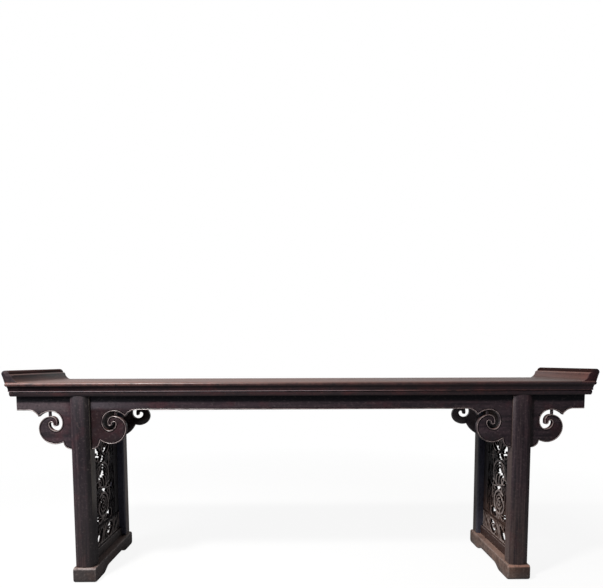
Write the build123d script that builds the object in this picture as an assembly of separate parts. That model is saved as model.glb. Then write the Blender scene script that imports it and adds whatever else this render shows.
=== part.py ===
from build123d import *
import os
from math import cos, radians, sin

# A trestle altar table with everted ends: a framed top with an upturned flange at each end,
# aprons and cloud-scroll spandrels clamped in slotted legs, and two trestles whose feet,
# rails and legs hold a pierced panel.  Millimetres.  X runs along the table, Y to the rear,
# Z up; the origin is on the floor under the middle.

# --- Top -------------------------------------------------------------------------------
TOP_LENGTH = 2578.0        # bead to bead, below the flanges
TOP_DEPTH = 488.0          # bead to bead
SURFACE_HEIGHT = 900.0     # of the flat top surface
TOP_THICKNESS = 61.0
RAIL_WIDTH = 82.0          # long rails, front to rear
END_WIDTH = 66.0           # end pieces, along the table
BOARD_THICKNESS = 22.0     # floating boards, flush with the rails
RAIL_TENON_LENGTH = 36.0   # long rails into the end pieces
RAIL_TENON_THICKNESS = 20.0
RAIL_TENON_MARGIN = 16.0   # from the rail's inner face
RAIL_TENON_SHOULDER = 32.0 # from the bead
BATTEN_COUNT = 7
BATTEN_WIDTH = 40.0
BATTEN_HEIGHT = 30.0
BATTEN_MARGIN = 104.0      # from an end piece to the middle of the outermost batten
BATTEN_TENON_LENGTH = 22.0
BATTEN_TENON_MARGIN = 6.0
BOARD_TONGUE = 8.0         # thickness of the boards' tongues
DOVETAIL_DEPTH = 6.0       # of a batten's key into the boards
DOVETAIL_FLARE = 4.0       # each side, wider at the key's top

# Edge moulding, measured inwards from the bead and downwards from the surface
BEAD_HEIGHT = 18.0
BEAD_RETURN = 6.0          # of the bead's lower edge, where the cove starts
COVE_HEIGHT = 22.0
COVE_LIP_INSET = 8.5       # the crisp edge below the cove
COVE_DEPTH = 2.5           # behind the line from bead to lip
BAND_STEP = 4.0            # from the lip back to the lower band
BAND_SWELL = 2.0
EDGE_INSET = 14.5          # of the underside

# Everted flange, on the end pieces
FLANGE_RISE = 53.0         # above the surface
FLANGE_REACH = 14.0        # beyond the bead
FLANGE_SHOULDER = 15.0     # from the flange's top down to its widest place
FLANGE_CROWN = 16.0        # from the widest place in to the highest
FLANGE_ROLL = 18.4         # from the highest place in to the crest's inner edge
FLANGE_RIDGE_HEIGHT = 8.0  # the small bead under the crest's inner edge
FLANGE_RIDGE_BULGE = 2.6
FLANGE_LEAN = 30.0         # of the hollow inner face, from the ridge to its foot
FLANGE_HOLLOW = 6.0        # depth of that hollow
FLANGE_NECK = 1.5          # the outer face's overhang where it meets the bead
FLANGE_NECK_DROP = 3.0     # that place below the surface
FLANGE_FLARE = 1.5         # hollow of the outer face

# --- Aprons and spandrels --------------------------------------------------------------
APRON_INSET = 31.0         # of the end aprons behind the bead
APRON_HEIGHT = 62.8
APRON_SETBACK = 17.5       # front of the apron behind the front of the leg
SLAT_THICKNESS = 18.0      # aprons and spandrels, and so the slot in the leg
SPANDREL_HOUSING = 14.0    # the spandrel's top edge let into the apron
SPANDREL_DROP = 174.5      # below the apron
CUSP_DROP = 28.0           # the pointed tip below the apron
CUSP_RUN = 46.5            # along the apron, from the tip to the straight edge
SCROLL_DROP = 26.0         # the scroll's top below the apron
SLOT_WIDTH = 20.5          # of the spiral slot over the scroll
SLOT_BACK_RADIUS = 48.5    # of the slot's bend beside the leg
SLOT_EYE_REACH = 27.5      # from that bend to the bottom of the slot
CURL_RADIUS = 27.2         # of the scroll's inner curl
CURL_TIP_DROP = 35.7       # from the scroll's top to the curl's tip
LINK_START = 3.0           # the small link across the slot, past the scroll's middle
LINK_WIDTH = 9.0
LINK_HEIGHT = 30.0

# Front spandrels: a small lobe against the leg, then the scroll
OUTER_REACH = 187.5        # of the outer scroll, from the middle of the leg
OUTER_CUSP_INSET = 1.0     # of the pointed tip behind the scroll's reach
INNER_REACH = 198.5
INNER_CUSP_INSET = 4.0
SCROLL_RADIUS = 55.5       # upper part of the scroll
SCROLL_BELLY = 70.0        # lower part of the scroll
LOBE_WIDTH = 40.0
LOBE_ROUND = 35.0
CURL_TIP_RADIUS = 9.5
SLOT_TIP_RADIUS = 8.4      # of the slot's round end
SLOT_EYE_DROP = 29.0       # from the curl's tip to the bottom of the slot

# Rear spandrels: smaller, with a slanting tail down to the leg
REAR_OUTER_REACH = 170.0
REAR_INNER_REACH = 176.5
REAR_SCROLL_RADIUS = 44.0
REAR_BELLY_WIDTH = 55.5
REAR_BELLY_DROP = 51.0     # from the scroll's middle to the bottom of the belly
REAR_NOTCH_INSET = 23.5    # from the middle of the belly back to the notch
REAR_NOTCH_RISE = 4.0      # the notch above the bottom of the belly
REAR_TAIL_SAG = 7.0
REAR_TIP_RADIUS = 7.0
REAR_SLOT_TIP_RADIUS = 11.0
REAR_EYE_DROP = 22.5

# --- Trestles --------------------------------------------------------------------------
OVERHANG = 311.5           # from the middle of the leg to the bead at the end
LEG_WIDTH = 83.0           # along the table
LEG_DEPTH = 59.5           # front to rear
LEG_INSET = 14.5           # of the legs behind the bead, front and rear
LEG_BEVEL_WIDTH = 17.0
LEG_BEVEL_DEPTH = 8.0
LEG_CROWN = 2.0            # swell of the leg's outer face
LEG_ROUND = 8.0            # of the leg's inner corners
TENON_WIDTH = 48.0
TENON_THICKNESS = 11.0
TENON_HEIGHT = 32.0        # up into the top
TENON_INSET = 2.0          # from the slot
FOOT_TENON_DEPTH = 30.0
FOOT_TENON_HEIGHT = 40.0
FOOT_PROJECTION = 8.0      # beyond the legs, front and rear
FOOT_WIDTH = 103.6
FOOT_HEIGHT = 68.5
FOOT_PAD = 100.0           # length of the pad that stands on the floor
FOOT_ARCH = 20.0           # height of the arch between the pads
FOOT_OGEE = 56.0           # length of the curve from pad to arch
FOOT_SHOULDER = 12.0       # rounding of the ends' top edge
FOOT_EDGE = 6.0            # rounding of the long top edges
FOOT_TOE = 8.0             # rounding of the ends' lower edge
CROSS_RAIL_THICKNESS = 40.0
LOWER_RAIL_HEIGHT = 43.5
UPPER_RAIL_HEIGHT = 44.0
UPPER_RAIL_TOP = 744.0
CROSS_TENON_LENGTH = 20.0
CROSS_TENON_THICKNESS = 14.0
CROSS_TENON_MARGIN = 8.0   # above and below the tenon

# --- Pierced panels --------------------------------------------------------------------
PANEL_THICKNESS = 18.0
TONGUE_THICKNESS = 10.0
TONGUE_LENGTH = 8.0
PANEL_STILE = 46.0         # plain margin beside the openwork
PANEL_HEAD = 45.0          # plain margin above it
PANEL_SILL = 8.0           # plain margin round the lower band
PANEL_BELT_HEIGHT = 86.0   # from the rail to the bar between band and openwork
PANEL_BELT = 10.0          # height of that bar
SCROLL_COUNT = 3           # the scrolls one above another
SCROLL_SWAY = 20.0         # of each scroll to one side of the middle
VINE_WIDTH = 14.0          # of a scroll's outer turn
VINE_TAPER = 0.74          # each half turn against the one before, radius and width
HALF_TURNS = 5
BOSS_RADIUS = 9.0          # at the heart of each scroll
LEAF_WIDTH = 13.0
LEAF_SWELL = 1.3           # how much wider the leaves are on a scroll's open side
LEAF_BOW = 9.0             # sideways bend of a leaf
LEAF_ROOT = 3.0            # how far leaves run into the margins
FROND_COUNT = 7            # groups of leaves along the lower band
FROND_WIDTH = 12.0
FROND_SLANT = 34.0         # how far a leaf of the band leans over its height

JOINT_CLEARANCE = 0.2      # round tenons, tongues and keys
KNIFE_CUT = 9.0            # length of a straight cut along the spandrels' curved edges
CHISEL_CUT = 13.0          # the same along the openwork's scrolls
FEWEST_CUTS = 5            # along a short curve
LEAF_CUTS = 3              # along each edge of a leaf

# --- Levels and faces that follow ------------------------------------------------------
UNDERSIDE = SURFACE_HEIGHT - TOP_THICKNESS
HALF_LENGTH = TOP_LENGTH / 2
HALF_DEPTH = TOP_DEPTH / 2
LEG_CENTRE = HALF_LENGTH - OVERHANG
APRON_END = HALF_LENGTH - APRON_INSET
END_FACE = HALF_LENGTH - END_WIDTH
RAIL_FACE = HALF_DEPTH - RAIL_WIDTH
BOARD_UNDERSIDE = SURFACE_HEIGHT - BOARD_THICKNESS
TONGUE_BOTTOM = BOARD_UNDERSIDE + (BOARD_THICKNESS - BOARD_TONGUE) / 2
TONGUE_TOP = TONGUE_BOTTOM + BOARD_TONGUE
APRON_BOTTOM = UNDERSIDE - APRON_HEIGHT
HOUSING_TOP = APRON_BOTTOM + SPANDREL_HOUSING
SPANDREL_BOTTOM = APRON_BOTTOM - SPANDREL_DROP
LEG_FRONT = HALF_DEPTH - LEG_INSET
LEG_BACK = LEG_FRONT - LEG_DEPTH
SLAT_FRONT = LEG_FRONT - APRON_SETBACK
SLAT_BACK = SLAT_FRONT - SLAT_THICKNESS
LOWER_RAIL_TOP = FOOT_HEIGHT + LOWER_RAIL_HEIGHT
PANEL_TOP = UPPER_RAIL_TOP - UPPER_RAIL_HEIGHT


def block(x, y, z, grow=0.0):
    """A box over three (low, high) ranges, grown on every side by a clearance."""
    size = [high - low + 2 * grow for low, high in (x, y, z)]
    middle = [(low + high) / 2 for low, high in (x, y, z)]
    return Pos(*middle) * Box(*size)


def prism(edges, plane, start, end):
    """The outline that the edges close, on a plane, filled from start to end along its normal."""
    placed = plane.offset(start)
    return extrude(make_face([placed * edge for edge in edges]), end - start, dir=plane.z_dir)


def outline(*points):
    """Straight edges through the points."""
    return [Line(a, b) for a, b in zip(points, points[1:])]


def quarter(centre, across, up, start):
    """A quarter of a circle or ellipse, from a start angle of 0, 90, 180 or 270 degrees."""
    if across == up:
        return CenterArc(centre, across, start, 90)
    return EllipticalCenterArc(centre, across, up, start, arc_size=90)


def cuts(curve, count):
    """The curve as a number of straight cuts."""
    return Polyline(*[curve @ (i / count) for i in range(count + 1)])


def long_cuts(curve, length):
    """The curve as straight cuts of about a length."""
    return cuts(curve, max(FEWEST_CUTS, round(curve.length / length)))


def flip_x(solid):
    return mirror(solid, about=Plane.YZ)


def flip_y(solid):
    return mirror(solid, about=Plane.XZ)


def save(name, solid):
    solid.label = name
    export_step(solid, os.path.join("parts", name + ".step"))


# --- Top -------------------------------------------------------------------------------
def moulding(bead):
    """The edge moulding from the surface to the underside: bead, cove, lip and band."""
    round_radius = BEAD_HEIGHT / 2
    shoulder = (bead - round_radius, SURFACE_HEIGHT)
    quirk = (bead - BEAD_RETURN, SURFACE_HEIGHT - BEAD_HEIGHT)
    lip = (bead - COVE_LIP_INSET, SURFACE_HEIGHT - BEAD_HEIGHT - COVE_HEIGHT)
    step = (lip[0] - BAND_STEP, lip[1])
    foot = (bead - EDGE_INSET, UNDERSIDE)
    hollow = ((quirk[0] + lip[0]) / 2 - COVE_DEPTH, (quirk[1] + lip[1]) / 2)
    swell = ((step[0] + foot[0]) / 2 + BAND_SWELL, (step[1] + foot[1]) / 2)
    return [
        ThreePointArc(shoulder, (bead, SURFACE_HEIGHT - round_radius), quirk),
        ThreePointArc(quirk, hollow, lip),
        Line(lip, step),
        ThreePointArc(step, swell, foot),
    ]


def leg_tenons(grow=0.0):
    """The two tenons on a leg's top, one each side of its slot."""
    x = (LEG_CENTRE - TENON_WIDTH / 2, LEG_CENTRE + TENON_WIDTH / 2)
    z = (UNDERSIDE, UNDERSIDE + TENON_HEIGHT)
    outer = (SLAT_FRONT + TENON_INSET, SLAT_FRONT + TENON_INSET + TENON_THICKNESS)
    inner = (SLAT_BACK - TENON_INSET - TENON_THICKNESS, SLAT_BACK - TENON_INSET)
    return block(x, outer, z, grow) + block(x, inner, z, grow)


def rail_tenon(grow=0.0):
    """A long rail's tenon into the right-hand end piece."""
    middle = (UNDERSIDE + BOARD_UNDERSIDE) / 2
    return block(
        (END_FACE, END_FACE + RAIL_TENON_LENGTH),
        (RAIL_FACE + RAIL_TENON_MARGIN, HALF_DEPTH - RAIL_TENON_SHOULDER),
        (middle - RAIL_TENON_THICKNESS / 2, middle + RAIL_TENON_THICKNESS / 2),
        grow,
    )


def batten_positions():
    """The battens' middles along the table."""
    reach = END_FACE - BATTEN_MARGIN
    return [reach * (2 * i / (BATTEN_COUNT - 1) - 1) for i in range(BATTEN_COUNT)]


def batten_key(x, grow=0.0):
    """The dovetail along a batten's top."""
    neck = BATTEN_WIDTH / 2 - DOVETAIL_FLARE + grow
    top = BATTEN_WIDTH / 2 + grow
    z = BOARD_UNDERSIDE + DOVETAIL_DEPTH + grow
    edges = outline(
        (x - neck, BOARD_UNDERSIDE), (x + neck, BOARD_UNDERSIDE),
        (x + top, z), (x - top, z), (x - neck, BOARD_UNDERSIDE),
    )
    return prism(edges, Plane.XZ, -RAIL_FACE, RAIL_FACE)


def batten_tenon(x, grow=0.0):
    """A batten's tenon into the rear rail."""
    bottom = BOARD_UNDERSIDE - BATTEN_HEIGHT
    return block(
        (x - BATTEN_WIDTH / 2 + BATTEN_TENON_MARGIN, x + BATTEN_WIDTH / 2 - BATTEN_TENON_MARGIN),
        (RAIL_FACE, RAIL_FACE + BATTEN_TENON_LENGTH),
        (bottom + BATTEN_TENON_MARGIN, BOARD_UNDERSIDE - BATTEN_TENON_MARGIN),
        grow,
    )


def batten(x):
    half = BATTEN_WIDTH / 2
    body = block(
        (x - half, x + half),
        (-RAIL_FACE, RAIL_FACE),
        (BOARD_UNDERSIDE - BATTEN_HEIGHT, BOARD_UNDERSIDE),
    )
    tenon = batten_tenon(x)
    return body + batten_key(x) + tenon + flip_y(tenon)


def board_groove(grow=0.0):
    """The groove that the boards' tongues fill, all round the frame's opening."""
    reach = TONGUE_LENGTH
    return block(
        (-END_FACE - reach, END_FACE + reach),
        (-RAIL_FACE - reach, RAIL_FACE + reach),
        (TONGUE_BOTTOM, TONGUE_TOP),
        grow,
    )


def long_rail():
    """The rear rail of the top."""
    profile = moulding(HALF_DEPTH) + outline(
        (HALF_DEPTH - EDGE_INSET, UNDERSIDE),
        (RAIL_FACE, UNDERSIDE),
        (RAIL_FACE, SURFACE_HEIGHT),
        (HALF_DEPTH - BEAD_HEIGHT / 2, SURFACE_HEIGHT),
    )
    rail = prism(profile, Plane.YZ, -END_FACE, END_FACE)
    rail += rail_tenon() + flip_x(rail_tenon())
    rail -= board_groove(JOINT_CLEARANCE)
    rail -= leg_tenons(JOINT_CLEARANCE) + flip_x(leg_tenons(JOINT_CLEARANCE))
    for x in batten_positions():
        rail -= batten_tenon(x, JOINT_CLEARANCE)
    return rail


def end_piece():
    """The right-hand end of the top, with its flange; its moulding returns round both corners."""
    crest = SURFACE_HEIGHT + FLANGE_RISE
    widest = (HALF_LENGTH + FLANGE_REACH, crest - FLANGE_SHOULDER)
    top = (widest[0] - FLANGE_CROWN, crest)
    inner_edge = (top[0] - FLANGE_ROLL, widest[1])
    ridge_foot = (inner_edge[0] - FLANGE_RIDGE_BULGE, inner_edge[1] - FLANGE_RIDGE_HEIGHT)
    landing = (ridge_foot[0] - FLANGE_LEAN, SURFACE_HEIGHT)
    neck = (HALF_LENGTH + FLANGE_NECK, SURFACE_HEIGHT - FLANGE_NECK_DROP)
    bead = (HALF_LENGTH, SURFACE_HEIGHT - BEAD_HEIGHT / 2)
    quirk = (HALF_LENGTH - BEAD_RETURN, SURFACE_HEIGHT - BEAD_HEIGHT)
    end_profile = [
        Line((END_FACE, UNDERSIDE), (END_FACE, SURFACE_HEIGHT)),
        Line((END_FACE, SURFACE_HEIGHT), landing),
        SagittaArc(landing, ridge_foot, FLANGE_HOLLOW),
        SagittaArc(ridge_foot, inner_edge, -FLANGE_RIDGE_BULGE),
        TangentArc(top, inner_edge, tangent=(-1, 0)),
        TangentArc(top, widest, tangent=(1, 0)),
        SagittaArc(widest, neck, FLANGE_FLARE),
        Line(neck, bead),
        TangentArc(bead, quirk, tangent=(0, -1)),
    ] + moulding(HALF_LENGTH)[1:] + [
        Line((HALF_LENGTH - EDGE_INSET, UNDERSIDE), (END_FACE, UNDERSIDE)),
    ]
    along = prism(end_profile, Plane.XZ, -HALF_DEPTH, HALF_DEPTH)
    side = HALF_DEPTH - BEAD_HEIGHT / 2
    rear = moulding(HALF_DEPTH)
    depth_profile = rear + [mirror(edge, about=Plane.YZ) for edge in rear] + outline(
        (-side, SURFACE_HEIGHT), (-side, crest + 1), (side, crest + 1), (side, SURFACE_HEIGHT),
    ) + outline((HALF_DEPTH - EDGE_INSET, UNDERSIDE), (-HALF_DEPTH + EDGE_INSET, UNDERSIDE))
    piece = along & prism(depth_profile, Plane.YZ, END_FACE, widest[0])
    piece -= rail_tenon(JOINT_CLEARANCE) + flip_y(rail_tenon(JOINT_CLEARANCE))
    return piece - board_groove(JOINT_CLEARANCE) & block(
        (END_FACE, widest[0]), (-HALF_DEPTH, HALF_DEPTH), (UNDERSIDE, crest)
    )


def board_pair():
    """The floating boards, front and rear, tongued together along the middle."""
    half_tongue = TONGUE_LENGTH / 2
    whole = block((-END_FACE, END_FACE), (-RAIL_FACE, RAIL_FACE), (BOARD_UNDERSIDE, SURFACE_HEIGHT))
    whole += board_groove(-JOINT_CLEARANCE)
    for x in batten_positions():
        whole -= batten_key(x, JOINT_CLEARANCE)
    length = (-HALF_LENGTH, HALF_LENGTH)
    tongue = (TONGUE_BOTTOM, TONGUE_TOP)
    rear_space = block(length, (0, HALF_DEPTH), (BOARD_UNDERSIDE, SURFACE_HEIGHT))
    rear_space += block(length, (-half_tongue, 0), tongue)
    front_space = block(length, (-HALF_DEPTH, 0), (BOARD_UNDERSIDE, SURFACE_HEIGHT))
    front_space -= block(length, (-half_tongue, 0), tongue, JOINT_CLEARANCE)
    return whole & front_space, whole & rear_space


# --- Aprons and spandrels --------------------------------------------------------------
def long_apron(inner_cusp, outer_cusp):
    """A long apron at the rear, mitred at its ends and housed out over its spandrels."""
    end = APRON_END
    plan = outline(
        (-end, SLAT_FRONT), (end, SLAT_FRONT),
        (end - SLAT_THICKNESS, SLAT_BACK), (-end + SLAT_THICKNESS, SLAT_BACK), (-end, SLAT_FRONT),
    )
    apron = prism(plan, Plane.XY, APRON_BOTTOM, UNDERSIDE)
    housing = block(
        (LEG_CENTRE - inner_cusp - CUSP_RUN, LEG_CENTRE + outer_cusp + CUSP_RUN),
        (SLAT_BACK, SLAT_FRONT),
        (APRON_BOTTOM, HOUSING_TOP),
    )
    return apron - housing - flip_x(housing)


def end_apron():
    """The right-hand end apron."""
    end = APRON_END
    plan = outline(
        (end, -SLAT_FRONT), (end, SLAT_FRONT),
        (end - SLAT_THICKNESS, SLAT_BACK), (end - SLAT_THICKNESS, -SLAT_BACK), (end, -SLAT_FRONT),
    )
    return prism(plan, Plane.XY, APRON_BOTTOM, UNDERSIDE)


def lobed_edge(reach):
    """The lower edge of a front spandrel, from the middle of the leg to the scroll's side."""
    belly = (reach - SCROLL_BELLY, APRON_BOTTOM - SCROLL_DROP - SCROLL_RADIUS)
    notch_x = LEG_WIDTH / 2 + LOBE_WIDTH
    notch_z = belly[1] - (SCROLL_BELLY ** 2 - (notch_x - belly[0]) ** 2) ** 0.5
    lobe = (notch_x - LOBE_ROUND, notch_z)
    notch_angle = degrees_of(notch_x - belly[0], notch_z - belly[1])
    return [
        Line((JOINT_CLEARANCE / 2, SPANDREL_BOTTOM), (lobe[0], SPANDREL_BOTTOM)),
        quarter(lobe, LOBE_ROUND, notch_z - SPANDREL_BOTTOM, 270),
        CenterArc(belly, SCROLL_BELLY, notch_angle, -notch_angle),
    ]


def swept_edge(reach):
    """The lower edge of a rear spandrel, from the middle of the leg to the scroll's side."""
    belly = (reach - REAR_BELLY_WIDTH, APRON_BOTTOM - SCROLL_DROP - REAR_SCROLL_RADIUS)
    bottom = (belly[0], belly[1] - REAR_BELLY_DROP)
    notch = (bottom[0] - REAR_NOTCH_INSET, bottom[1] + REAR_NOTCH_RISE)
    leg_side = (LEG_WIDTH / 2, SPANDREL_BOTTOM)
    return [
        Line((JOINT_CLEARANCE / 2, SPANDREL_BOTTOM), leg_side),
        SagittaArc(leg_side, notch, -REAR_TAIL_SAG),
        TangentArc(bottom, notch, tangent=(-1, 0)),
        quarter(belly, REAR_BELLY_WIDTH, REAR_BELLY_DROP, 270),
    ]


def spandrel(reach, cusp_x, radius, tip_radius, slot_radius, eye_drop, lower_edge):
    """A spandrel to the right of the middle of a leg at X = 0: tongue, scroll, slot and cusp."""
    scroll_top = APRON_BOTTOM - SCROLL_DROP
    scroll_x = reach - radius
    curl_x = scroll_x - CURL_RADIUS
    tip = (curl_x + tip_radius, scroll_top - CURL_TIP_DROP)
    slot_end = (tip[0] + tip_radius + slot_radius, tip[1])
    crown = (scroll_x, scroll_top + SLOT_WIDTH)
    back = (scroll_x, crown[1] - SLOT_BACK_RADIUS)
    eye_x = scroll_x - SLOT_BACK_RADIUS + SLOT_EYE_REACH
    eye_z = tip[1] - eye_drop
    cusp = (cusp_x, APRON_BOTTOM - CUSP_DROP)
    shoulder = (cusp_x + CUSP_RUN, APRON_BOTTOM)
    corner = (JOINT_CLEARANCE / 2, HOUSING_TOP)
    edges = lower_edge(reach) + [
        quarter((scroll_x, scroll_top - radius), radius, radius, 0),
        quarter((scroll_x, scroll_top - CURL_RADIUS), CURL_RADIUS, CURL_RADIUS, 90),
        Line((curl_x, scroll_top - CURL_RADIUS), (curl_x, tip[1])),
        CenterArc(tip, tip_radius, 180, 180),
        CenterArc(slot_end, slot_radius, 0, 180),
        quarter((eye_x, tip[1]), slot_end[0] + slot_radius - eye_x, eye_drop, 270),
        quarter((eye_x, back[1]), SLOT_EYE_REACH, back[1] - eye_z, 180),
        quarter(back, SLOT_BACK_RADIUS, SLOT_BACK_RADIUS, 90),
        TangentArc(crown, cusp, tangent=(1, 0)),
        TangentArc(shoulder, cusp, tangent=(-1, 0)),
    ]
    edges = [edge if isinstance(edge, Line) else long_cuts(edge, KNIFE_CUT) for edge in edges]
    edges += outline(shoulder, (shoulder[0], HOUSING_TOP), corner, (corner[0], SPANDREL_BOTTOM))
    piece = prism(edges, Plane.XZ, -SLAT_FRONT, -SLAT_BACK)
    middle = scroll_top + SLOT_WIDTH / 2
    link = block(
        (scroll_x + LINK_START, scroll_x + LINK_START + LINK_WIDTH),
        (SLAT_BACK, SLAT_FRONT),
        (middle - LINK_HEIGHT / 2, middle + LINK_HEIGHT / 2),
    )
    return piece + link


def degrees_of(across, up):
    """The angle of a direction below the horizontal, between -180 and 0 degrees."""
    return Vector(1, 0, 0).get_signed_angle(Vector(across, up, 0), Vector(0, 0, 1))


# --- Trestles --------------------------------------------------------------------------
def foot_tenon(grow=0.0):
    """The tenon under the right-hand rear leg."""
    middle = LEG_FRONT - LEG_DEPTH / 2
    return block(
        (LEG_CENTRE - TENON_WIDTH / 2, LEG_CENTRE + TENON_WIDTH / 2),
        (middle - FOOT_TENON_DEPTH / 2, middle + FOOT_TENON_DEPTH / 2),
        (FOOT_HEIGHT - FOOT_TENON_HEIGHT, FOOT_HEIGHT),
        grow,
    )


def cross_tenon(bottom, top, grow=0.0):
    """A cross rail's tenon into the right-hand rear leg."""
    half = CROSS_TENON_THICKNESS / 2
    return block(
        (LEG_CENTRE - half, LEG_CENTRE + half),
        (LEG_BACK, LEG_BACK + CROSS_TENON_LENGTH),
        (bottom + CROSS_TENON_MARGIN, top - CROSS_TENON_MARGIN),
        grow,
    )


def panel_tongue(grow=0.0):
    """The tongue round the pierced panel, without its corners."""
    half = TONGUE_THICKNESS / 2
    x = (LEG_CENTRE - half, LEG_CENTRE + half)
    reach = TONGUE_LENGTH
    sides = block(x, (-LEG_BACK - reach, LEG_BACK + reach), (LOWER_RAIL_TOP, PANEL_TOP), grow)
    ends = block(x, (-LEG_BACK, LEG_BACK), (LOWER_RAIL_TOP - reach, PANEL_TOP + reach), grow)
    return sides + ends


def leg():
    """The right-hand rear leg: crowned face, bevelled corners, slotted top and tenons."""
    left, right = LEG_CENTRE - LEG_WIDTH / 2, LEG_CENTRE + LEG_WIDTH / 2
    face = LEG_FRONT - LEG_CROWN
    bevel = LEG_FRONT - LEG_BEVEL_DEPTH
    turn = LEG_BACK + LEG_ROUND
    plan = [
        ThreePointArc(
            (left + LEG_BEVEL_WIDTH, face), (LEG_CENTRE, LEG_FRONT), (right - LEG_BEVEL_WIDTH, face)
        ),
        Line((right - LEG_BEVEL_WIDTH, face), (right, bevel)),
        Line((right, bevel), (right, turn)),
        CenterArc((right - LEG_ROUND, turn), LEG_ROUND, 270, 90),
        Line((right - LEG_ROUND, LEG_BACK), (left + LEG_ROUND, LEG_BACK)),
        CenterArc((left + LEG_ROUND, turn), LEG_ROUND, 180, 90),
        Line((left, turn), (left, bevel)),
        Line((left, bevel), (left + LEG_BEVEL_WIDTH, face)),
    ]
    post = prism(plan, Plane.XY, FOOT_HEIGHT, UNDERSIDE)
    post -= block((left, right), (SLAT_BACK, SLAT_FRONT), (SPANDREL_BOTTOM, UNDERSIDE))
    post -= panel_tongue(JOINT_CLEARANCE)
    post -= cross_tenon(FOOT_HEIGHT, LOWER_RAIL_TOP, JOINT_CLEARANCE)
    post -= cross_tenon(PANEL_TOP, UPPER_RAIL_TOP, JOINT_CLEARANCE)
    return post + leg_tenons() + foot_tenon()


def foot():
    """The right-hand foot: a bar arched between two pads, rounded at its ends and along its top."""
    end = LEG_FRONT + FOOT_PROJECTION
    pad = end - FOOT_PAD
    arch = pad - FOOT_OGEE
    shoulder = FOOT_HEIGHT - FOOT_SHOULDER
    half = [
        Line((0, FOOT_HEIGHT), (end - FOOT_SHOULDER, FOOT_HEIGHT)),
        CenterArc((end - FOOT_SHOULDER, shoulder), FOOT_SHOULDER, 0, 90),
        Line((end, shoulder), (end, FOOT_TOE)),
        CenterArc((end - FOOT_TOE, FOOT_TOE), FOOT_TOE, 270, 90),
        Line((end - FOOT_TOE, 0), (pad, 0)),
        quarter((arch, 0), FOOT_OGEE, FOOT_ARCH, 0),
        Line((arch, FOOT_ARCH), (0, FOOT_ARCH)),
    ]
    edges = half + [mirror(edge, about=Plane.YZ) for edge in half]
    left, right = LEG_CENTRE - FOOT_WIDTH / 2, LEG_CENTRE + FOOT_WIDTH / 2
    edge_z = FOOT_HEIGHT - FOOT_EDGE
    section = [
        CenterArc((right - FOOT_EDGE, edge_z), FOOT_EDGE, 0, 90),
        Line((right - FOOT_EDGE, FOOT_HEIGHT), (left + FOOT_EDGE, FOOT_HEIGHT)),
        CenterArc((left + FOOT_EDGE, edge_z), FOOT_EDGE, 90, 90),
    ] + outline((left, edge_z), (left, 0), (right, 0), (right, edge_z))
    bar = prism(edges, Plane.YZ, left, right) & prism(section, Plane.XZ, -end, end)
    return bar - foot_tenon(JOINT_CLEARANCE) - flip_y(foot_tenon(JOINT_CLEARANCE))


def cross_rail(bottom, top):
    """A rail between the legs of the right-hand trestle."""
    half = CROSS_RAIL_THICKNESS / 2
    rail = block((LEG_CENTRE - half, LEG_CENTRE + half), (-LEG_BACK, LEG_BACK), (bottom, top))
    tenon = cross_tenon(bottom, top)
    return rail + tenon + flip_y(tenon) - panel_tongue(JOINT_CLEARANCE)


# --- Pierced panels --------------------------------------------------------------------
def ribbon(centre, radius, start, sweep, width):
    """A strip along an arc, as a face."""
    outer = long_cuts(CenterArc(centre, radius + width / 2, start, sweep), CHISEL_CUT)
    inner = long_cuts(CenterArc(centre, radius - width / 2, start, sweep), CHISEL_CUT)
    return make_face([outer, Line(outer @ 1, inner @ 1), inner, Line(inner @ 0, outer @ 0)])


def boss(y, z):
    """A small eight-sided boss, as a face."""
    return Pos(y, z) * RegularPolygon(BOSS_RADIUS, 8)


def leaf(root, tip, bow, width):
    """A pointed leaf that bends sideways from its root to its tip, as a face."""
    return make_face([
        cuts(SagittaArc(root, tip, bow + width / 2), LEAF_CUTS),
        cuts(SagittaArc(tip, root, width / 2 - bow), LEAF_CUTS),
    ])


def scroll(y, z, radius, turn):
    """A scroll that leaves its lowest point and winds inwards, turning to one side or the other."""
    pieces = []
    width = VINE_WIDTH
    start = -90
    middle = z
    for i in range(HALF_TURNS):
        pieces.append(ribbon((y, middle), radius, start, turn * 180, width))
        end = middle + radius * (1 if start < 0 else -1)
        radius *= VINE_TAPER
        width *= VINE_TAPER ** 0.5
        middle = end - radius * (1 if start < 0 else -1)
        start = -start
    pieces.append(boss(y, end))
    return pieces


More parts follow.
